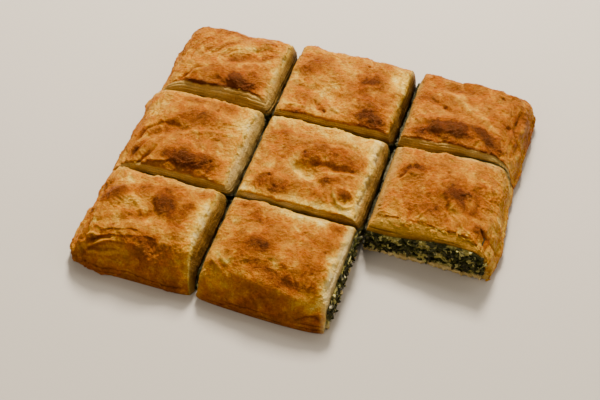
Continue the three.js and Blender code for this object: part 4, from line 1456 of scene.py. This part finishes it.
def feta_material():
    """Crumbled cheese, stained by the leaves."""
    n = Nodes("feta")
    tint = n.ramp(n.vary(n.attribute("shade"), n.noise(0.8), 0.5, clamp=True), [
        (0.0, (0.16, 0.14, 0.015)), (0.5, (0.36, 0.31, 0.07)), (1.0, (0.66, 0.58, 0.28)),
    ])
    return n.dress(tint, n.noise(0.4), 0.2, 0.6, {
        "Roughness": 0.55, "Subsurface Weight": 0.1, "Subsurface Scale": 1.0 * MM,
    })


def base_material():
    """Thin baked pastry, matt and pale gold."""
    n = Nodes("base_pastry")
    shade = n.math("ADD", n.attribute("bake"), n.math("MULTIPLY", n.noise(1.5, 4.0, 0.6), 0.3), clamp=True)
    tint = n.ramp(shade, [(0.1, (0.66, 0.51, 0.20)), (0.4, (0.42, 0.29, 0.08)), (0.8, (0.16, 0.085, 0.015))])
    return n.dress(tint, n.noise(0.8, 3.0, 0.6), 0.4, 0.7, {"Roughness": 0.6})


# ---------------------------------------------------------------- the stage
FLOOR_HALF, FLOOR_HEIGHT = 8.0, -0.0003  # in metres


def make_stage():
    """A plain pale floor."""
    mesh = bpy.data.meshes.new("floor")
    around = ((-1, -1), (1, -1), (1, 1), (-1, 1))
    corners = [(FLOOR_HALF * x, FLOOR_HALF * y, FLOOR_HEIGHT) for x, y in around]
    mesh.from_pydata(corners, [], [(0, 1, 2, 3)])
    floor = bpy.data.objects.new("floor", mesh)
    bpy.context.scene.collection.objects.link(floor)
    n = Nodes("pale_floor")
    n.shader.inputs["Base Color"].default_value = (0.50, 0.47, 0.43, 1.0)
    n.shader.inputs["Roughness"].default_value = 0.9
    floor.data.materials.append(n.material)


def aim(way):
    """Turn that points a lamp or camera along a direction, with its top upwards."""
    return Vector(way).to_track_quat("-Z", "Y").to_euler()


# Lamps, which all shine at the pie: place and size in metres, power in watts, tint.
LAMPS = {
    "window": ((-0.18, 0.88, 0.88), (0.3, 0.3), 46, (1.0, 0.89, 0.74)),
    "sky": ((0.0, 0.66, 1.12), (1.7, 0.35), 9, (1.0, 0.90, 0.76)),
    "room": ((-0.4, -0.8, 0.8), (0.9, 0.9), 6.0, (1.0, 0.86, 0.68)),
    "wall": ((1.0, 0.1, 0.7), (0.6, 0.6), 4.5, (1.0, 0.86, 0.68)),
}
WORLD_TINT, WORLD_STRENGTH = (1.0, 0.92, 0.80, 1.0), 0.10


def make_lights():
    """A soft window behind the pie, weaker lamps round it, and a faint even light."""
    world = bpy.data.worlds.new("studio")
    bpy.context.scene.world = world
    world.use_nodes = True
    background = world.node_tree.nodes["Background"]
    background.inputs["Color"].default_value = WORLD_TINT
    background.inputs["Strength"].default_value = WORLD_STRENGTH
    for name, (place, size, power, tint) in LAMPS.items():
        data = bpy.data.lights.new(name, "AREA")
        data.shape = "RECTANGLE"
        data.size, data.size_y = size
        data.energy, data.color = power, tint
        lamp = bpy.data.objects.new(name, data)
        lamp.location = place
        lamp.rotation_euler = aim([-along for along in place])
        bpy.context.scene.collection.objects.link(lamp)


# Camera: the view is from the front, a little right, and well above.
CAMERA_AZIMUTH, CAMERA_ELEVATION = 18.19, 50.9
CAMERA_DISTANCE = 761.6
CAMERA_TARGET = (-3.94, -11.99, 0.0)
CAMERA_LENS, SENSOR = 72.0, 36.0


def make_camera():
    data = bpy.data.cameras.new("camera")
    data.lens, data.sensor_width = CAMERA_LENS, SENSOR
    data.clip_start, data.clip_end = 0.05, 20
    camera = bpy.data.objects.new("camera", data)
    a, e = math.radians(CAMERA_AZIMUTH), math.radians(CAMERA_ELEVATION)
    back = np.array([math.sin(a) * math.cos(e), -math.cos(a) * math.cos(e), math.sin(e)])
    camera.location = (np.array(CAMERA_TARGET) + back * CAMERA_DISTANCE) * MM
    camera.rotation_euler = aim(-back)
    bpy.context.scene.collection.objects.link(camera)
    bpy.context.scene.camera = camera


crust, mix, sheet = crust_material(), filling_material(), base_material()
lid_spots, filling_spots = [], []
for row_name, column_name in PIECES:
    lid_spots.append(make_lid(row_name, column_name, crust))
    filling_spots.append(make_filling(row_name, column_name, mix))
    make_base(row_name, column_name, sheet)
leaf_spots, cheese_spots = zip(*filling_spots)
make_spinach(leaf_spots, spinach_material())
make_feta(cheese_spots, feta_material())
make_flakes(lid_spots, crust)
make_stage()
make_lights()
make_camera()
